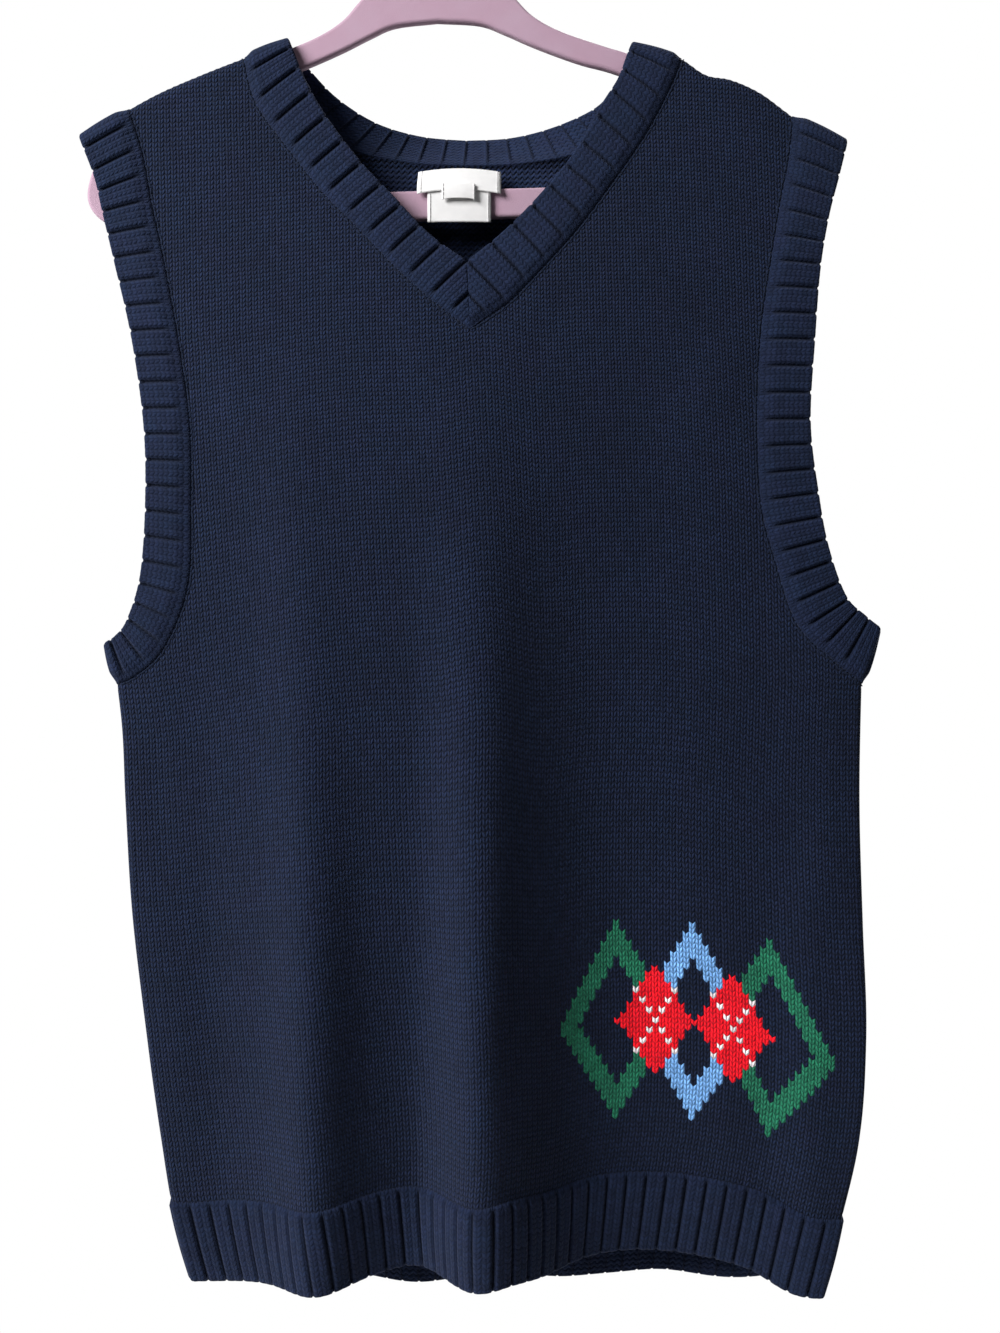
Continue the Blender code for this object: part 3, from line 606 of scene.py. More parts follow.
def placed(tree, kind, **settings):
    """A node with its settings and inputs."""
    node = tree.nodes.new(kind)
    for name, value in settings.items():
        if hasattr(node, name):
            setattr(node, name, value)
        else:
            feed(node.inputs[name.replace("_", " ")], value)
    return node


def wire(tree, kind, output=0, **settings):
    """One output of a new node."""
    return Wire(placed(tree, kind, **settings).outputs[output])


def wires(node):
    return {socket.name: Wire(socket) for socket in node.outputs}


def noise(place, scale, detail, **settings):
    return wire(place.tree, "ShaderNodeTexNoise", Vector=place, Scale=scale, Detail=detail, **settings)


def own_place(tree):
    """Places in the piece's own frame."""
    return wire(tree, "ShaderNodeTexCoord", "Object")


def blend(tree, share, first, second, mode="MIX"):
    """One colour over another."""
    node = placed(tree, "ShaderNodeMix", data_type="RGBA", blend_type=mode, Factor=share)
    for socket, value in zip((s for s in node.inputs if s.type == "RGBA"), (first, second)):
        feed(socket, (*value, 1.0) if isinstance(value, tuple) else value)
    return Wire(next(s for s in node.outputs if s.type == "RGBA"))


def group_tree(name, inputs, outputs, kind="ShaderNodeTree"):
    """A node group, with wires from its inputs, and its outputs to feed."""
    tree = bpy.data.node_groups.new(name, kind)
    for direction, sockets in (("INPUT", inputs), ("OUTPUT", outputs)):
        for label, socket_kind in sockets.items():
            tree.interface.new_socket(label, in_out=direction, socket_type="NodeSocket" + socket_kind)
    return tree, wires(tree.nodes.new("NodeGroupInput")), tree.nodes.new("NodeGroupOutput").inputs


def floats(*names):
    return dict.fromkeys(names, "Float")


def finished(tree, out, **values):
    for name, value in values.items():
        feed(out[name], value)
    return tree


def use_group(tree, group, **values):
    return wires(placed(tree, "ShaderNodeGroup", node_tree=group, **values))


def stitch_group():
    """Knitted stitches: two slanting legs in each, and bumps across on the inside of the cloth."""
    outputs = floats("Height", "Column", "Row", "Tone")
    tree, given, out = group_tree("knitted_stitch", {"Stitches": "Vector", "Inside": "Float"}, outputs)
    place = wires(placed(tree, "ShaderNodeSeparateXYZ", Vector=given["Stitches"]))
    swing = noise(given["Stitches"], 0.31, 1.0) - 0.5
    swing = (noise(given["Stitches"], 1.7, 1.0) - 0.5).line(0.9, swing)
    across, row = swing.line(0.22, place["X"]), swing.line(0.30, place["Y"])
    column = calc("FLOOR", place["X"])
    off = abs(calc("FRACT", across) - 0.5)
    slant = row - off
    level = calc("FLOOR", slant)
    phase = slant - level
    leg = calc("MAXIMUM", calc("SINE", off.line(5.6, 0.22)), 0.0) ** 0.7
    step = calc("SINE", phase * math.pi) ** 0.5
    ply = calc("SINE", slant * 12.6 + off * 50.0)
    outer = leg * step * phase.line(0.3, 0.7) * ply.line(0.05, 0.95)
    sway = calc("COSINE", across * (2 * math.pi))
    bump = calc("FRACT", sway.line(0.22, row))
    inner = calc("SINE", bump * math.pi) ** 0.6
    height = (inner - outer).line(given["Inside"], outer)
    cell = wire(tree, "ShaderNodeCombineXYZ", X=column, Y=level)
    tone = wire(tree, "ShaderNodeTexWhiteNoise", Vector=cell)
    return finished(tree, out, Height=height, Column=column, Row=level, Tone=tone)


def fuzz_group():
    """Loose fibres: fine noise, and a slow drift of the dye."""
    tree, given, out = group_tree("yarn_fuzz", floats("Fibre Scale"), floats("Height", "Drift", "Dye"))
    place = own_place(tree)
    fibre = noise(place, given["Fibre Scale"], 4.0, Roughness=0.7)
    drift, dye = noise(place, PATCHES["drift"], 3.0), noise(place, PATCHES["dye"], 2.0)
    return finished(tree, out, Height=fibre, Drift=drift, Dye=dye)


def diamond_group(middle):
    """Open diamonds side by side, solid ones over where they cross, and crosses of single stitches."""
    marks = floats("Green", "Blue", "Red", "White")
    tree, given, out = group_tree("diamond_pattern", floats("Column", "Row"), marks)
    along, up = given["Column"] - middle[0], abs(given["Row"] - middle[1])

    def open_diamond(offset):
        span = abs(along - offset).line(OPEN_DIAMOND["slope"], up)
        return calc("LESS_THAN", abs(span - OPEN_DIAMOND["reach"]), OPEN_DIAMOND["line"])

    greens = [open_diamond(side * DIAMOND_APART) for side in (-1, 1)]
    reds, whites = [], []
    for side in (-1, 1):
        off = abs(along - side * DIAMOND_APART / 2)
        reds.append(calc("LESS_THAN", off.line(SOLID_DIAMOND["slope"], up), SOLID_DIAMOND["reach"]))
        arm = calc("COMPARE", up, off * CROSS["slope"], 0.1)
        whites.append(arm * calc("LESS_THAN", off, CROSS["reach"]))
    green, red, white = (calc("MAXIMUM", *pair) for pair in (greens, reds, whites))
    return finished(tree, out, Green=green, Blue=open_diamond(0), Red=red, White=white)


# ---- materials


def new_material(name, roughness, **settings):
    """A material, its tree, and the inputs of its Principled shader."""
    material = bpy.data.materials.new(name)
    material.use_nodes = True
    inputs = material.node_tree.nodes["Principled BSDF"].inputs
    for label, value in {"Roughness": roughness, **settings}.items():
        inputs[label.replace("_", " ")].default_value = value
    return material, material.node_tree, inputs


def colour_and_relief(inputs, share, tones, height, distance):
    """Two tones, one over the other by its share, and fine relief."""
    tree = height.tree
    feed(inputs["Base Color"], blend(tree, share, *tones))
    bump = wire(tree, "ShaderNodeBump", "Normal", Strength=1.0, Distance=distance, Height=height)
    feed(inputs["Normal"], bump)


def knit_material(name, stitch, fuzz, diamonds=None):
    sheen = {"Sheen_Weight": 0.06, "Sheen_Roughness": 0.6, "Sheen_Tint": (0.50, 0.60, 1.0, 1.0)}
    material, tree, inputs = new_material(name, 0.94, **sheen, Specular_IOR_Level=0.10)
    stitches = wire(tree, "ShaderNodeUVMap", uv_map="stitches")
    layers = ("inside", "groove", "ribbed")
    inside, groove, ribbed = (wire(tree, "ShaderNodeAttribute", "Fac", attribute_name=key) for key in layers)
    knit = use_group(tree, stitch, Stitches=stitches, Inside=inside)
    loose = use_group(tree, fuzz, Fibre_Scale=FIBRES["knit"])
    # Random tone of each stitch and a drift of the dye, with painted light and shade on the fibres: lighter
    # where they stand high and darker where they lie low.
    tone_and_shade = knit["Tone"].line(0.36, 0.82) * loose["Drift"].line(0.5, 0.76) * loose["Height"].line(1.3, 0.40)
    # Ribbed bands painted a fifth darker, as shade in place of the gap shade that they get only half of.
    tone_and_shade = tone_and_shade * ribbed.line(-0.20, 1.0)
    plain = ribbed.line(-0.5, 1.0)
    # Painted shade in the gaps between the stitches' legs, where their height is low; ribbed pieces get half
    # of it.
    gap_shade = (1.0 - knit["Height"].line(1.5, -0.28, clamp=True)) * (plain * 0.95)
    yarn = COLOURS["navy"]
    if diamonds:
        bright = 0.0
        marks = use_group(tree, diamonds, Column=knit["Column"], Row=knit["Row"])
        for mark in ("Blue", "Green", "Red", "White"):
            outer = marks[mark] * (1.0 - inside)
            yarn = blend(tree, outer, yarn, COLOURS[mark.lower()])
            bright = calc("MAXIMUM", bright, outer)
        # Coloured marks: a brighter yarn, and less of the painted gap shade.
        tone_and_shade, gap_shade = tone_and_shade * bright.line(0.30, 1.0), gap_shade * bright.line(-0.55, 1.0)
    warm = blend(tree, 0.12, yarn, COLOURS["navy_warm"])
    yarn = blend(tree, loose["Dye"].line(2.6, -0.8, clamp=True), yarn, warm)
    yarn = blend(tree, 1.0, yarn, wire(tree, "ShaderNodeCombineXYZ", X=tone_and_shade, Y=tone_and_shade, Z=tone_and_shade), "MULTIPLY")
    height = loose["Height"].line(0.30, knit["Height"] * plain)
    # Painted shade: the darker of the gap shade and the painted shade in the ribs' grooves, read from the
    # 'groove' layer, pulls the yarn towards the painted navy shade.
    shade = calc("MAXIMUM", gap_shade, groove * 0.85)
    colour_and_relief(inputs, shade, (yarn, COLOURS["navy_painted_shade"]), height, RELIEF["knit"])
    return material


def yarn_material(fuzz):
    """Plain yarn of the linking stitches."""
    sheen = {"Sheen_Weight": 0.05, "Sheen_Roughness": 0.5}
    material, tree, inputs = new_material("linking_yarn", 0.94, **sheen, Specular_IOR_Level=0.12)
    height = use_group(tree, fuzz, Fibre_Scale=FIBRES["linking"])["Height"]
    # Painted shade: the yarn goes to the painted navy shade where its fibre relief is low.
    share = height.line(1.6, -0.3, clamp=True)
    colour_and_relief(inputs, share, (COLOURS["navy_painted_shade"], COLOURS["navy"]), height, RELIEF["linking"])
    return material


def thread_material():
    """White sewing thread with its twist."""
    material, tree, inputs = new_material("label_thread", 0.7, Specular_IOR_Level=0.3)
    twist = noise(own_place(tree), FIBRES["thread"], 2.0)
    # Painted shade: the thread's darker copy laid along its twist.
    colour_and_relief(inputs, twist, TONES["thread"], twist, RELIEF["thread"])
    return material


def label_material():
    """Woven satin tape: fine threads along and across."""
    material, tree, inputs = new_material("woven_label", 0.62, Sheen_Weight=0.15, Specular_IOR_Level=0.35)
    place = own_place(tree)
    split = wires(placed(tree, "ShaderNodeSeparateXYZ", Vector=place))
    wefts = calc("SINE", split["Z"] * (2 * math.pi / WEFT))
    warps = calc("SINE", split["X"] * (2 * math.pi / WARP))
    weave = warps.line(0.35, wefts)
    share = noise(place, PATCHES["label"], 4.0).line(0.5, weave * 0.06, clamp=True)
    # Painted shade: the label's darker copy laid in slow patches and faintly along its weave.
    colour_and_relief(inputs, share, TONES["label"], weave, RELIEF["label"])
    return material


def flock_material():
    """Short velvet pile over moulded plastic."""
    sheen = {"Sheen_Weight": 0.5, "Sheen_Roughness": 0.35, "Sheen_Tint": (1.0, 0.82, 0.9, 1.0)}
    material, tree, inputs = new_material("pink_flock_pile", 0.95, **sheen)
    place = own_place(tree)
    pile = noise(place, FIBRES["pink"], 3.0, Roughness=0.8)
    share = pile.line(0.5, noise(place, PATCHES["pink"], 4.0).line(0.7, -0.3), clamp=True)
    # Painted shade: the pink's darker copy laid by the pile and slow patches.
    colour_and_relief(inputs, share, TONES["pink"], pile, RELIEF["pink"])
    return material


def steel_material():
    """Bright wire with fine drawing lines along it."""
    material, tree, inputs = new_material("drawn_steel_wire", 0.3, Metallic=1.0)
    stretch = wire(tree, "ShaderNodeMapping", Vector=own_place(tree), Scale=DRAWN)
    lines = noise(stretch, 1.0, 3.0)
    feed(inputs["Roughness"], lines.line(0.25, 0.18))
    # Painted shade: the steel's darker copy laid along its drawing lines.
    colour_and_relief(inputs, lines, TONES["steel"], lines, RELIEF["steel"])
    return material


# ---- meshes


def shown(name, data):
    obj = bpy.data.objects.new(name, data)
    bpy.context.scene.collection.objects.link(obj)
    return obj


def new_mesh(name, points, faces, edges=()):
    mesh = bpy.data.meshes.new(name)
    mesh.from_pydata(points, edges, faces)
    return mesh


def coated(mesh, material):
    """The mesh with this material alone, smoothly shaded."""
    mesh.materials.clear()
    mesh.materials.append(material)
    mesh.shade_smooth()


def cleaned(mesh, distance):
    """Doubled points of the mesh merged, and its faces turned out."""
    cage = bmesh.new()
    cage.from_mesh(mesh)
    bmesh.ops.remove_doubles(cage, verts=cage.verts, dist=distance)
    bmesh.ops.recalc_face_normals(cage, faces=cage.faces)
    cage.to_mesh(mesh)
    cage.free()


def as_made(obj):
    """A mesh of the object with its modifiers or its curve worked out."""
    graph = bpy.context.evaluated_depsgraph_get()
    return bpy.data.meshes.new_from_object(obj.evaluated_get(graph), depsgraph=graph)


def settle(obj, replaced):
    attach(obj, "root")
    if replaced:
        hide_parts(*replaced)


def add_piece(node, points, faces, material, **layers):
    """A closed mesh of knit in place of a node, with its faces out, riding on the body."""
    name = node + "_knit"
    mesh = new_mesh(name, points.tolist(), [list(map(int, face)) for face in faces])
    mesh.calc_loop_triangles()
    triangles = np.empty(len(mesh.loop_triangles) * 3, np.int32)
    mesh.loop_triangles.foreach_get("vertices", triangles)
    a, b, c = points[triangles.reshape(-1, 3)].transpose(1, 0, 2)
    if (a * np.cross(b, c)).sum() < 0:
        mesh.flip_normals()
    corners = np.empty(len(mesh.loops), np.int32)
    mesh.loops.foreach_get("vertex_index", corners)
    mesh.uv_layers.new(name="stitches").data.foreach_set("uv", layers.pop("stitches")[corners].ravel())
    for label, values in layers.items():
        mesh.attributes.new(label, "FLOAT", "POINT").data.foreach_set("value", values)
    coated(mesh, material)
    obj = shown(name, mesh)
    settle(obj, [node])
    return obj


def even_places(rows, face, places):
    """Places in a band's table that are spaced along its seam as asked."""
    t = (1 - np.cos(np.linspace(0, math.pi, FINE))) / 2 * (len(rows["seam_x"]) - 1)
    run = lengths(cloth(*seam_of(rows, t).T, face))
    return np.interp(places * run[-1], run, t)


def seam_of(rows, t):
    return through(rows, t, "seam_x", "seam_drop")


def free_of(rows, t):
    return through(rows, t, "free_x", "free_drop")


def hem_line(face, above, places):
    across = np.sin(np.linspace(-0.5, 0.5, FINE) * math.pi)
    drop = hem_drop(across, face) - above
    left, right = side_x(drop, "left"), side_x(drop, "right")
    x = 0.5 * (left + right) + 0.5 * (right - left) * across
    run = lengths(cloth(x, drop, face))
    return np.stack([np.interp(places * run[-1], run, column) for column in (x, drop)], -1)


def neck_tables(edge, face):
    """The neck band's table, and in front the mitre's apart from the rest."""
    rows = NECKS[face][edge]
    if face == "back":
        return [(rows, RIBBING["neck"]["ribs"])]
    straight = {name: column[:-1] for name, column in rows.items()}
    mitre = {name: column[-2:] for name, column in rows.items()}
    return [(straight, RIBBING["neck"]["ribs"]), (mitre, MITRE_RIBS)]


# ---- panels


def seam_line(rows, face, ribs):
    """Places along a band's seam."""
    return seam_of(rows, even_places(rows, face, np.linspace(0, 1, RIM_POINTS["band"] * ribs + 1)))


def half_outline(face, edge, corner):
    """Places round half a panel, up the side, armhole, shoulder and neck, and which are folded edges."""
    hole = seam_line(ARMHOLES[edge], face, RIBBING["armhole"]["ribs"])[::-1]
    neck = np.concatenate([seam_line(rows, face, ribs)[:-1] for rows, ribs in neck_tables(edge, face)])
    side_drop = np.linspace(corner, hole[0, 1], int((corner - hole[0, 1]) / LINE_STEP))[1:-1]
    side = np.stack([side_x(side_drop, edge), side_drop], -1)
    top_x = np.linspace(hole[-1, 0], neck[0, 0], int(abs(hole[-1, 0] - neck[0, 0]) / LINE_STEP))[1:-1]
    top = np.stack([top_x, shoulder_drop(top_x)], -1)
    folded = np.repeat((True, False, True, False), [len(part) for part in (side, hole, top, neck)])
    return np.concatenate([side, hole, top, neck]), folded


def inside_loop(loop, step, margin):
    """A lattice of points inside a loop and no nearer to it than the margin, how far each is from it, and
    the loop's nearest point."""
    low, high = loop.min(0), loop.max(0)
    columns, rows = (np.arange(math.ceil(low[i] / step[i]), high[i] / step[i]) * step[i] for i in (0, 1))
    start, end = loop, np.roll(loop, -1, 0)
    found = []
    for row in rows:
        crossed = (start[:, 1] > row) != (end[:, 1] > row)
        a, b = start[crossed], end[crossed]
        cuts = np.sort(a[:, 0] + (row - a[:, 1]) / (b[:, 1] - a[:, 1]) * (b[:, 0] - a[:, 0]))
        inside = columns[np.searchsorted(cuts, columns) % 2 == 1]
        found.append(np.stack([inside, np.full(len(inside), row)], -1))
    places = np.concatenate(found)
    tree = KDTree(len(loop))
    for number, place in enumerate(loop):
        tree.insert((*place, 0.0), number)
    tree.balance()
    numbers, gaps = (np.array(column) for column in zip(*(tree.find((*place, 0.0))[1:] for place in places)))
    kept = gaps > margin
    return places[kept], gaps[kept], numbers[kept]


def net(loop, places):
    """Triangles over a loop and the places inside it, and the points that they use."""
    every = [Vector(place) for place in np.concatenate([loop, places])]
    made = delaunay_2d_cdt(every, [], [list(range(len(loop)))], 1, 1e-7)
    return np.array([source[0] for source in made[3]]), np.array(made[2])


def panel(face, material):
    """The front or the back in plain knit: a fine net outside, a coarser one inside, and a rim."""
    hem = hem_line(face, HEM_BAND, np.linspace(0, 1, RIM_POINTS["hem"] * RIBBING["hem"]["ribs"] + 1))
    left, left_folded = half_outline(face, "left", hem[0, 1])
    right, right_folded = half_outline(face, "right", hem[-1, 1])
    rows = NECKS[face]["left"]
    loop = np.concatenate([left, [[rows["seam_x"][-1], rows["seam_drop"][-1]]], right[::-1], hem[::-1]])
    folded = np.concatenate([left_folded, [False], right_folded[::-1], np.zeros(len(hem), bool)])
    flat = np.stack(stitches_at(*loop.T, face), -1)
    scale = np.array([WALE, COURSE])
    loop_dip = np.where(folded, SEAM_DIP["fold"], SEAM_DIP["band"])
    sides = []
    for side in ("outside", "inside"):
        places, gaps, nearest = inside_loop(flat * scale, np.array(NET[side]) * scale, NET_MARGIN[side])
        inner = np.stack(place_of(*(places / scale).T, face), -1)
        kept, faces = net(flat * scale, places)
        where = np.concatenate([loop, inner])[kept].T
        stitches = np.concatenate([flat, places / scale])[kept]
        if side == "outside":
            near = eased(gaps / SEAM_DIP_WIDTH)
            dip = np.concatenate([loop_dip, loop_dip[nearest] * (1 - near)])[kept]
            fade = np.concatenate([np.zeros(len(loop)), near])[kept]
            rise = WALE_RELIEF * (np.abs(np.sin(math.pi * stitches[:, 0])) - RELIEF_MEAN) * fade - dip
        else:
            rise = np.full(len(kept), -WALL)
        points = cloth(*where, face) + facing(*where, face) * rise[:, None]
        sides.append((points, faces, stitches, np.argsort(kept)[: len(loop)]))
    (outer, outer_faces, outer_stitches, a), (inner, inner_faces, inner_stitches, c) = sides
    count = len(outer)
    c = c + count
    b, d = np.roll(a, -1), np.roll(c, -1)
    rim = np.concatenate([np.stack([b, a, c], -1), np.stack([b, c, d], -1)])
    plain = np.zeros(count + len(inner))
    faces = np.concatenate([outer_faces, inner_faces[:, ::-1] + count, rim])
    # A panel has no painted groove shade.
    layers = {"inside": np.repeat((0.0, 1.0), (count, len(inner))), "groove": plain, "ribbed": plain}
    layers["stitches"] = np.concatenate([outer_stitches, inner_stitches])
    points = np.concatenate([outer, inner])
    return add_piece(face + "_panel", points, faces, material, **layers)


# ---- ribbed bands


def rib_columns(kind, ribs):
    """Places along a run of ribs, four for each column of stitches: the share of the run, the stitch column,
    and how deep in a groove it is."""
    knitted, groove = RIBBING[kind]["knitted"], RIBBING[kind]["groove"]
    columns = np.arange(-0.5, knitted + 0.5, 0.25)
    phase = np.interp(columns, (-0.5, 0.0, knitted, knitted + 0.5), (0.0, groove, 1 - groove, 1.0))
    number = np.arange(ribs)[:, None]
    share = np.append((number + phase).ravel(), ribs) / ribs
    stitch = np.append((number * (knitted + 1) + columns).ravel(), ribs * (knitted + 1) - 0.5)
    depth = 1 - eased((np.minimum(phase, 1 - phase) / groove - GROOVE_BOTTOM) / (1 - GROOVE_BOTTOM))
    return share, stitch, np.append(np.tile(depth, ribs), 1.0)


def band_run(seam, free, face, stitch, groove, lip=1.0):
    """Points and directions along both edges of a band, with the stitch columns and grooves. A lip of 1 is a
    rounded free edge, and 0 a square one."""
    return {
        "seam": cloth(*seam.T, face),
        "free": cloth(*free.T, face),
        "seam_out": facing(*seam.T, face),
        "free_out": facing(*free.T, face),
        "stitch": stitch,
        "groove": groove,
        "lip": np.full(len(stitch), lip),
    }


def joined(runs):
    """Runs end to end in one ring. A run marked to turn is taken backwards, and shared columns once."""
    ring = {}
    for name in runs[0][0]:
        parts = [run[name][:: -1 if turned else 1][:-1] for run, turned in runs]
        if name == "stitch":
            parts = [part + 100.0 * number for number, part in enumerate(parts)]
        ring[name] = np.concatenate(parts)
    return ring


def band_mesh(node, run, kind, material):
    """A ribbed band: ribs outside, a rounded free edge, and the ribs' backs inside. The hem's bands end at
    the sides and are knitted down from the seam, and the others are rings that are knitted up from it."""
    sizes, ring = RIBBING[kind], kind != "hem"
    span = run["free"] - run["seam"]
    width = np.linalg.norm(span, axis=1)[:, None]
    across = span / np.maximum(width, 1e-9)
    groove, stitch, rounded = (run[key][:, None] for key in ("groove", "stitch", "lip"))
    reach = np.maximum(width - RIB_BITE * groove * rounded, 0)
    lip = np.minimum(WALL / 2, reach) * rounded
    level = reach - lip
    relief = RIB_RELIEF * (np.abs(np.sin(math.pi * stitch)) - RELIEF_MEAN) * (1 - groove)

    def surface(share, inner):
        w = level * share
        shallow = rounded * (1 - eased((level - w) / RIB_END + 0.25))
        rise = eased(w / sizes["start"])
        rib = (RIB_ROOT + (1 - RIB_ROOT) * rise) * (1 - groove * rise * (1 - shallow))
        camber = RIB_CAMBER * np.sin(math.pi * share) * np.minimum(width / 0.02, 1)
        if inner:
            return w, -WALL + RIB_BACK * sizes["rise"] * rib + camber
        return w, sizes["rise"] * rib - 0.3 * SEAM_DIP["band"] + relief + camber

    outer_w, outer_h = surface(np.linspace(0, 1, sizes["rows"] + 1)[None, :], False)
    inner_w, inner_h = surface(np.linspace(1, 0, sizes["inner_rows"] + 1)[None, :], True)
    middle, half = (outer_h[:, -1:] + inner_h[:, :1]) / 2, (outer_h[:, -1:] - inner_h[:, :1]) / 2
    w = np.concatenate([outer_w, level + lip * np.sin(LIP_TURNS), inner_w], 1)
    h = np.concatenate([outer_h, middle + half * np.cos(LIP_TURNS), inner_h], 1)
    part = np.clip(w / np.maximum(width, 1e-9), 0, 1)[..., None]
    out = unit(run["seam_out"][:, None] * (1 - part) + run["free_out"][:, None] * part)
    points = run["seam"][:, None] + across[:, None] * w[..., None] + out * h[..., None]
    index = np.arange(w.size).reshape(w.shape)
    here, there = (index, np.roll(index, -1, 0)) if ring else (index[:-1], index[1:])
    quads = np.stack([here, there, np.roll(there, -1, 1), np.roll(here, -1, 1)], -1).reshape(-1, 4)
    faces = quads.tolist()
    if not ring:
        faces += [index[0].tolist(), index[-1, ::-1].tolist()]
    rows = w / COURSE * (1 if ring else -1)
    inside = np.zeros(w.shape)
    inside[:, sizes["rows"] + 1 + len(LIP_TURNS) // 2 :] = 1.0
    # Painted shade in the ribs' grooves, fading out at their ends and lighter on the inside, kept in the
    # 'groove' layer.
    ends = eased(w / sizes["start"] + 0.1) * eased((reach - w) / RIB_END)
    shade = groove * np.where(inside > 0, BACK_GROOVE_SHADE, 1.0) * ends
    layers = {"inside": inside.ravel(), "groove": shade.ravel(), "ribbed": np.ones(inside.size)}
    layers["stitches"] = np.stack(np.broadcast_arrays(stitch, rows), -1).reshape(-1, 2)
    return add_piece(node, points.reshape(-1, 3), faces, material, **layers)


def armhole_ring(edge):
    share, stitch, groove = rib_columns("armhole", RIBBING["armhole"]["ribs"])
    runs = []
    for face in SIGN:
        rows = ARMHOLES[edge]
        t = even_places(rows, face, share)
        run = band_run(seam_of(rows, t), free_of(rows, t), face, stitch, groove)
        for name in ("seam", "free", "seam_out", "free_out"):
            run[name][[0, -1], 1] = 0.0
        runs.append((run, face == "back"))
    return joined(runs)


def neck_runs(edge, face):
    """The neck from a shoulder to the middle, and in front the mitre after it."""
    runs = []
    for number, (rows, ribs) in enumerate(neck_tables(edge, face)):
        share, stitch, groove = rib_columns("back_neck" if face == "back" else "neck", ribs)
        t = share if number else even_places(rows, face, share)
        run = band_run(seam_of(rows, t), free_of(rows, t), face, stitch, groove, MITRE_LIP if number else 1.0)
        if number == 0:
            run["seam"][0, 1] = run["free"][0, 1] = 0.0
        if face == "back":
            lean_back(run, share)
        runs.append(run)
    return runs


def neck_ring():
    """The neck from the left shoulder down the front, up to the right shoulder and round the back."""
    order = []
    for face, edges in (("front", ("left", "right")), ("back", ("right", "left"))):
        order += [(run, False) for run in neck_runs(edges[0], face)]
        order += [(run, True) for run in neck_runs(edges[1], face)[::-1]]
    return joined(order)


def lean_back(run, share):
    run["free"][:, 1] += NECK_LEAN * np.sin(0.5 * math.pi * share) ** 2
    normal = unit(np.cross(run["free"] - run["seam"], np.gradient(run["free"], axis=0)))
    normal *= np.sign((normal * run["free_out"]).sum(1, keepdims=True))
    part = eased(share / 0.15)[:, None]
    run["free_out"] = unit(run["free_out"] * (1 - part) + normal * part)


def hem_run(face):
    share, stitch, groove = rib_columns("hem", RIBBING["hem"]["ribs"])
    return band_run(hem_line(face, HEM_BAND, share), hem_line(face, 0.0, share), face, stitch, groove)


# ---- linking stitches


def link_tree():
    """Links of a chain along a path, lying flat on the cloth."""
    sockets = {name: "Int" if name == "Seed" else "Float" for name in LINK}
    sockets = {"Geometry": "Geometry", **sockets, "Yarn": "Material"}
    tree, given, out = group_tree("linked_chain", sockets, {"Geometry": "Geometry"}, "GeometryNodeTree")
    path = wire(tree, "GeometryNodeMeshToCurve", Mesh=given["Geometry"])
    spaced = wire(tree, "GeometryNodeResampleCurve", mode="LENGTH", Curve=path, Length=given["Link Length"])
    tangent = wire(tree, "GeometryNodeInputTangent")
    away = wire(tree, "GeometryNodeInputNamedAttribute", data_type="FLOAT_VECTOR", Name="away")
    along = wire(tree, "FunctionNodeAlignRotationToVector", axis="X", Vector=tangent)
    flat = placed(tree, "FunctionNodeAlignRotationToVector", axis="Z", pivot_axis="X", Vector=away)
    feed(flat.inputs["Rotation"], along)
    chance = placed(tree, "FunctionNodeRandomValue", data_type="FLOAT", Seed=given["Seed"])
    low, high = [s for s in chance.inputs if s.name in ("Min", "Max") and s.type == "VALUE"][:2]
    feed(low, given["Turn"] * -1.0)
    feed(high, given["Turn"])
    angle = Wire(next(s for s in chance.outputs if s.type == "VALUE" and s.enabled))
    turn = wire(tree, "FunctionNodeAxisAngleToRotation", Axis=(0.0, 0.0, 1.0), Angle=angle)
    turned = placed(tree, "FunctionNodeRotateRotation", rotation_space="LOCAL")
    feed(turned.inputs[0], Wire(flat.outputs[0]))
    feed(turned.inputs[1], turn)
    link = wire(tree, "GeometryNodeMeshUVSphere", Segments=8, Rings=5, Radius=0.5)
    longer = given["Link Length"] * LINK_OVERLAP
    size = wire(tree, "ShaderNodeCombineXYZ", X=longer, Y=given["Link Width"], Z=given["Link Height"])
    laid = placed(tree, "GeometryNodeInstanceOnPoints", Points=spaced, Instance=link, Scale=size)
    feed(laid.inputs["Rotation"], Wire(turned.outputs[0]))
    real = wire(tree, "GeometryNodeRealizeInstances", Geometry=Wire(laid.outputs[0]))
    soft = wire(tree, "GeometryNodeSetShadeSmooth", Geometry=real)
    made = wire(tree, "GeometryNodeSetMaterial", Geometry=soft, Material=given["Yarn"])
    return finished(tree, out, Geometry=made)


def chain_line(rows, face, places):
    """A line on the panel beside a band's seam, and the directions out of the cloth."""
    t = even_places(rows, face, places)
    seam = seam_of(rows, t)
    place = seam - LINK_SHIFT * unit(free_of(rows, t) - seam)
    return cloth(*place.T, face), facing(*place.T, face)


def armhole_lines(edge):
    places = np.linspace(LINK_ENDS, 1 - LINK_ENDS, 160)
    return [chain_line(ARMHOLES[edge], face, places) for face in SIGN]


def neck_lines():
    places = np.linspace(LINK_ENDS, LINK_MIDDLE, 120)
    lines = []
    for face in SIGN:
        left, right = (chain_line(NECKS[face][edge], face, places) for edge in SIDE_NAMES)
        lines.append([np.concatenate([start, end[::-1]]) for start, end in zip(left, right)])
    return lines


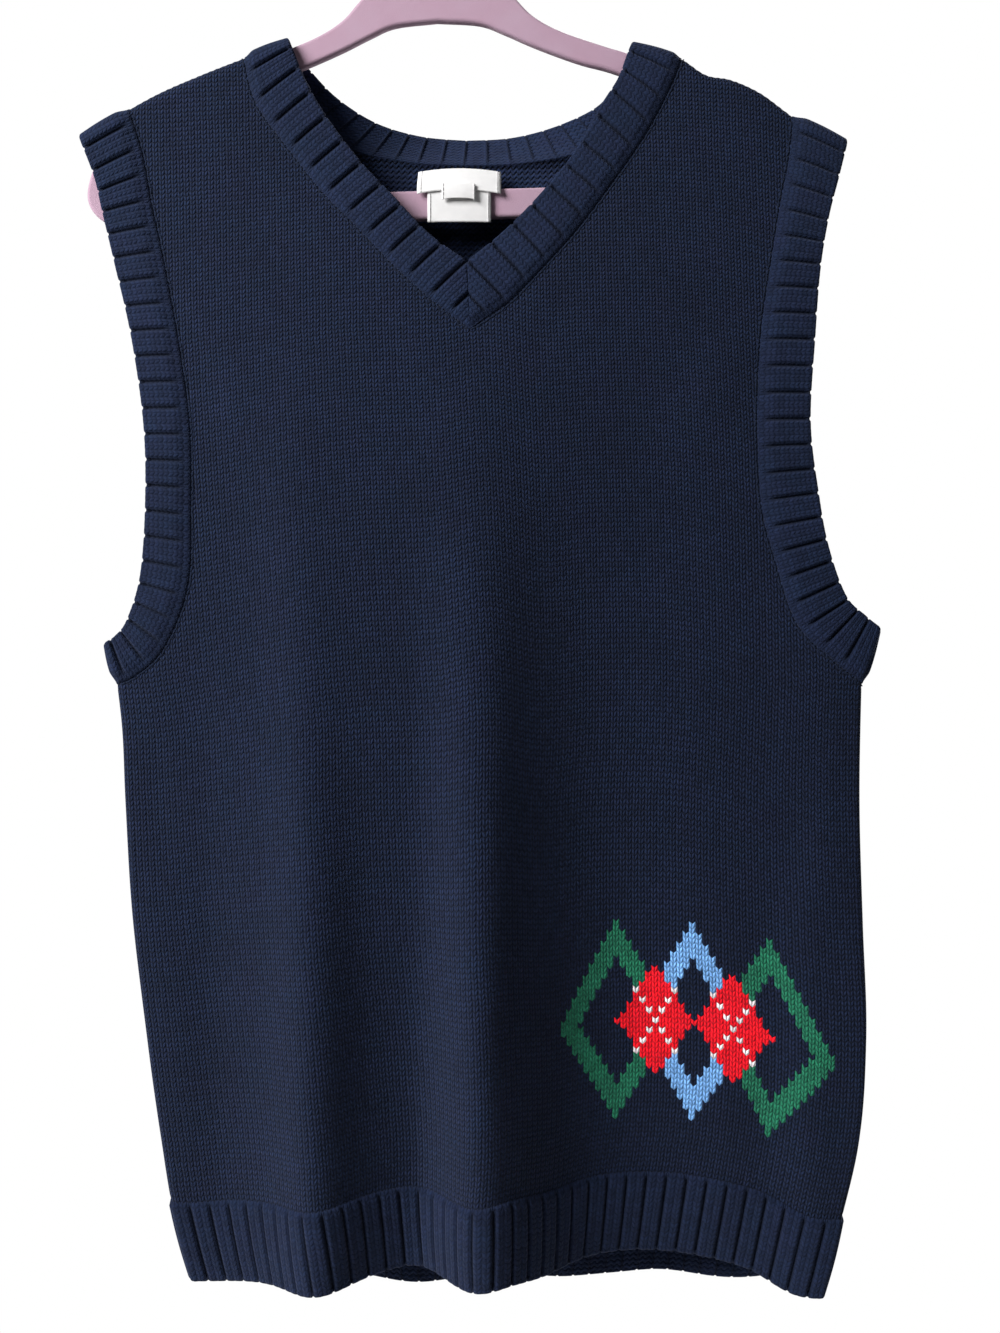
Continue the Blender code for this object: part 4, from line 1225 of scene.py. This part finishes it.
def linked_chain(name, lines, tree, sizes, yarn):
    """Chains of links along lines, as one piece."""
    counts = np.cumsum([0] + [len(points) for points, _ in lines])
    points, away = (np.concatenate(parts) for parts in zip(*lines))
    edges = [(i, i + 1) for start, end in zip(counts, counts[1:]) for i in range(start, end - 1)]
    mesh = new_mesh(name + "_path", points.tolist(), [], edges)
    mesh.attributes.new("away", "FLOAT_VECTOR", "POINT").data.foreach_set("vector", away.ravel())
    path = shown(name + "_path", mesh)
    chain = path.modifiers.new("chain", "NODES")
    chain.node_group = tree
    given = {**sizes, "Yarn": yarn}
    for item in tree.interface.items_tree:
        if item.in_out == "INPUT" and item.name in given:
            chain[item.identifier] = given[item.name]
    made = as_made(path)
    made.name = name
    bpy.data.objects.remove(path)
    obj = shown(name, made)
    settle(obj, ())
    return obj


# ---- labels


def label(name, material, left, right, start, end, lift, sag):
    """A woven label hanging from the back neck's seam in front of the hanger, and its lines of sewing."""
    t = np.linspace(0, len(LABEL_DRAPE["y"]) - 1, 300)
    path = through(LABEL_DRAPE, t, "y", "drop") * (1, -1)
    run = lengths(path)
    ahead = unit(np.gradient(path, axis=0))
    lifted = path + (lift + LABEL_WALL) * np.stack([ahead[:, 1], -ahead[:, 0]], -1)
    wanted = np.linspace(start, end, LABEL_NET[0]) * run[-1]
    y, z = (np.interp(wanted, run, lifted[:, axis])[:, None] for axis in (0, 1))
    across = np.linspace(-1, 1, LABEL_NET[1])
    bow = LABEL_BOW * across**2 * (0.4 + 0.6 * np.linspace(0, 1, LABEL_NET[0])[:, None])
    x = (left + right) / 2 + (right - left) / 2 * across
    grid = np.stack(np.broadcast_arrays(x, y + bow, z - sag * across**2), -1)
    index = np.arange(grid[..., 0].size).reshape(grid.shape[:2])
    quads = np.stack([index[:-1, :-1], index[1:, :-1], index[1:, 1:], index[:-1, 1:]], -1).reshape(-1, 4)
    mesh = new_mesh(name + "_cloth", grid.reshape(-1, 3).tolist(), quads.tolist())
    coated(mesh, material)
    obj = shown(name + "_cloth", mesh)
    wall = obj.modifiers.new("wall", "SOLIDIFY")
    wall.thickness = LABEL_CLOTH
    wall.offset = 0.0
    made = as_made(obj)
    obj.modifiers.clear()
    obj.data = made
    settle(obj, [name])
    forward = np.array([0.0, -LABEL_WALL / 2, 0.0])
    ahead = np.broadcast_to([0.0, -1.0, 0.0], grid[:, 1].shape)
    return obj, [(grid[1:-1, column] + forward, ahead[1:-1]) for column in (1, -2)]


# ---- hanger


def in_hanger_frame(turn=0.0):
    """The hanger's frame, which tilts about the middle of the hook's bend."""
    tilt = Matrix.Rotation(-HANGER_TILT, 4, "Y")
    return Matrix.Translation((0, 0, -HOOK_INSIDE)) @ tilt @ Matrix.Rotation(turn, 4, "X")


def from_curve(name, lines, closed, material, turn=0.0, **settings):
    """A piece made by a curve in the hanger's frame."""
    curve = bpy.data.curves.new(name, "CURVE")
    for setting, value in settings.items():
        setattr(curve, setting, value)
    for points in lines:
        spline = curve.splines.new("POLY")
        spline.points.add(len(points) - 1)
        for point, place in zip(spline.points, points):
            point.co = (*place, 1.0)
        spline.use_cyclic_u = closed
    obj = shown(name, curve)
    obj.matrix_world = in_hanger_frame(turn)
    bpy.context.view_layer.update()
    mesh = as_made(obj)
    mesh.transform(obj.matrix_world)
    bpy.data.objects.remove(obj)
    coated(mesh, material)
    return shown(name, mesh)


def mirrored_outline(rows, steps):
    t = np.linspace(0, len(rows["x"]) - 1, steps * (len(rows["x"]) - 1) + 1)
    x, drop = through(rows, t, "x", "drop").T
    half = np.stack([x, HOOK_INSIDE - drop, np.zeros(len(t))], -1)
    return np.concatenate([half, half[-2:0:-1] * (-1, 1, 1)])


def hanger(material):
    lines = [mirrored_outline(rows, 6) for rows in (HANGER_OUTSIDE, HANGER_WINDOW)]
    form = {"dimensions": "2D", "fill_mode": "BOTH", "extrude": HANGER_THICK / 2 - HANGER_ROUND}
    edge = {"bevel_depth": HANGER_ROUND, "bevel_resolution": 4, "offset": -HANGER_ROUND}
    obj = from_curve("hanger_flocked", lines, True, material, math.pi / 2, **form, **edge)
    cleaned(obj.data, 1e-5)
    for polygon in obj.data.polygons:
        polygon.use_smooth = abs(polygon.normal.y) < 0.999
    settle(obj, ["hanger"])


def hook(material):
    """The wire hook, and the collar that it stands on."""
    radius = HOOK_INSIDE + HOOK_WIRE / 2
    turn = np.linspace(*HOOK_BEND, 72)
    bend = np.stack([radius * np.cos(turn), np.zeros(len(turn)), radius * np.sin(turn)], -1)
    stem_x, stem_drop = through(HOOK_STEM, np.linspace(0, len(HOOK_STEM["x"]) - 1, 41), "x", "drop").T
    stem = np.stack([stem_x, np.zeros(len(stem_x)), HOOK_INSIDE - stem_drop], -1)
    lines = [np.concatenate([stem, bend])]
    form = {"dimensions": "3D", "bevel_depth": HOOK_WIRE / 2, "bevel_resolution": 5, "use_fill_caps": True}
    settle(from_curve("hook_wire", lines, False, material, **form), ["hook"])

    base = HOOK_INSIDE - HANGER_OUTSIDE["drop"][0] + HOOK_PLAY
    rim, flat = COLLAR_RIM, COLLAR_RADIUS - COLLAR_RIM
    bevel = np.radians((90, 60, 30, 0))
    profile = [(0.0, 0.0), (flat, 0.0)]
    profile += [(flat + rim * math.cos(a), rim - rim * math.sin(a)) for a in bevel]
    profile += [(flat + rim * math.cos(a), COLLAR_HEIGHT - rim + rim * math.sin(a)) for a in bevel[::-1]]
    profile += [(HOOK_WIRE / 2 + HOOK_PLAY, COLLAR_HEIGHT), (0.0, COLLAR_HEIGHT + COLLAR_CROWN)]
    turns = np.linspace(0, 2 * math.pi, COLLAR_SIDES, endpoint=False)
    points = [(r * math.cos(a), r * math.sin(a), base + z) for r, z in profile for a in turns]
    index = np.arange(len(points)).reshape(-1, COLLAR_SIDES)
    ahead = np.roll(index, -1, 1)
    faces = np.stack([index[:-1], ahead[:-1], ahead[1:], index[1:]], -1).reshape(-1, 4).tolist()
    collar = new_mesh("hook_collar_ring", points, faces)
    cleaned(collar, 1e-6)
    collar.transform(in_hanger_frame())
    coated(collar, material)
    settle(shown("hook_collar_ring", collar), ["hook_collar"])


# ---- studio


def studio():
    scene = bpy.context.scene
    scene.view_settings.view_transform = "Standard"
    scene.world = bpy.data.worlds.new("studio")
    scene.world.use_nodes = True
    tree = scene.world.node_tree
    tree.nodes.clear()
    seen = wire(tree, "ShaderNodeBackground", Color=(1.0, 1.0, 1.0, 1.0), Strength=1.0)
    soft = wire(tree, "ShaderNodeBackground", Color=(0.94, 0.97, 1.0, 1.0), Strength=0.068)
    mixed = tree.nodes.new("ShaderNodeMixShader")
    for socket, value in zip(mixed.inputs, (wire(tree, "ShaderNodeLightPath", "Is Camera Ray"), soft, seen)):
        feed(socket, value)
    placed(tree, "ShaderNodeOutputWorld", Surface=Wire(mixed.outputs[0]))

    for name, sizes in LAMPS.items():
        lamp = bpy.data.lights.new(name, "AREA")
        lamp.shape, lamp.size, lamp.energy = "DISK", sizes["size"], sizes["watts"]
        obj = shown(name, lamp)
        obj.location = sizes["place"]
        obj.rotation_euler = (LAMP_AIM - obj.location).to_track_quat("-Z", "Y").to_euler()

    camera = bpy.data.cameras.new("camera")
    camera.sensor_width, camera.lens, camera.clip_start = 36.0, CAMERA_LENS, 0.01
    scene.camera = shown("camera", camera)
    scene.camera.location = CAMERA_PLACE
    scene.camera.rotation_euler = (math.pi / 2, 0.0, 0.0)

    cage = bmesh.new()
    bmesh.ops.create_circle(cage, cap_ends=True, segments=96, radius=1.0)
    mesh = bpy.data.meshes.new("floor")
    cage.to_mesh(mesh)
    cage.free()
    mesh.transform(Matrix.Translation((0.0, 0.0, -FLOOR_DROP)))
    material, tree, inputs = new_material("pale_floor", 0.8)
    grain = noise(own_place(tree), PATCHES["floor"], 3.0)
    feed(inputs["Base Color"], blend(tree, grain, *TONES["floor"]))
    mesh.materials.append(material)
    floor = shown("floor", mesh)


def main():
    stitch, fuzz = stitch_group(), fuzz_group()
    centre = stitches_at(*(np.array(value) for value in DIAMOND_PLACE), "front")
    diamonds = diamond_group([float(np.floor(value)) for value in centre])
    plain = knit_material("navy_cotton_knit", stitch, fuzz)
    patterned = knit_material("navy_cotton_knit_with_diamonds", stitch, fuzz, diamonds)

    front = panel("front", patterned)
    back = panel("back", plain)
    hems = {face: band_mesh("hem_rib_" + face, hem_run(face), "hem", plain) for face in SIGN}
    tree, yarn = link_tree(), yarn_material(fuzz)
    neck = band_mesh("neck_band", neck_ring(), "neck", plain)
    chains = [linked_chain("neck_linking", neck_lines(), tree, LINK, yarn)]
    for edge in SIDE_NAMES:
        band_mesh("armhole_band_" + edge, armhole_ring(edge), "armhole", plain)
        chains.append(linked_chain("armhole_linking_" + edge, armhole_lines(edge), tree, LINK, yarn))
    tape, thread = label_material(), thread_material()
    labels, seams = zip(*(label(name, tape, *sizes) for name, sizes in LABELS.items()))
    sewing = linked_chain("label_sewing", sum(seams, []), tree, LABEL_THREAD, thread)
    hanger(flock_material())
    hook(steel_material())
    studio()

    bpy.context.view_layer.update()


main()
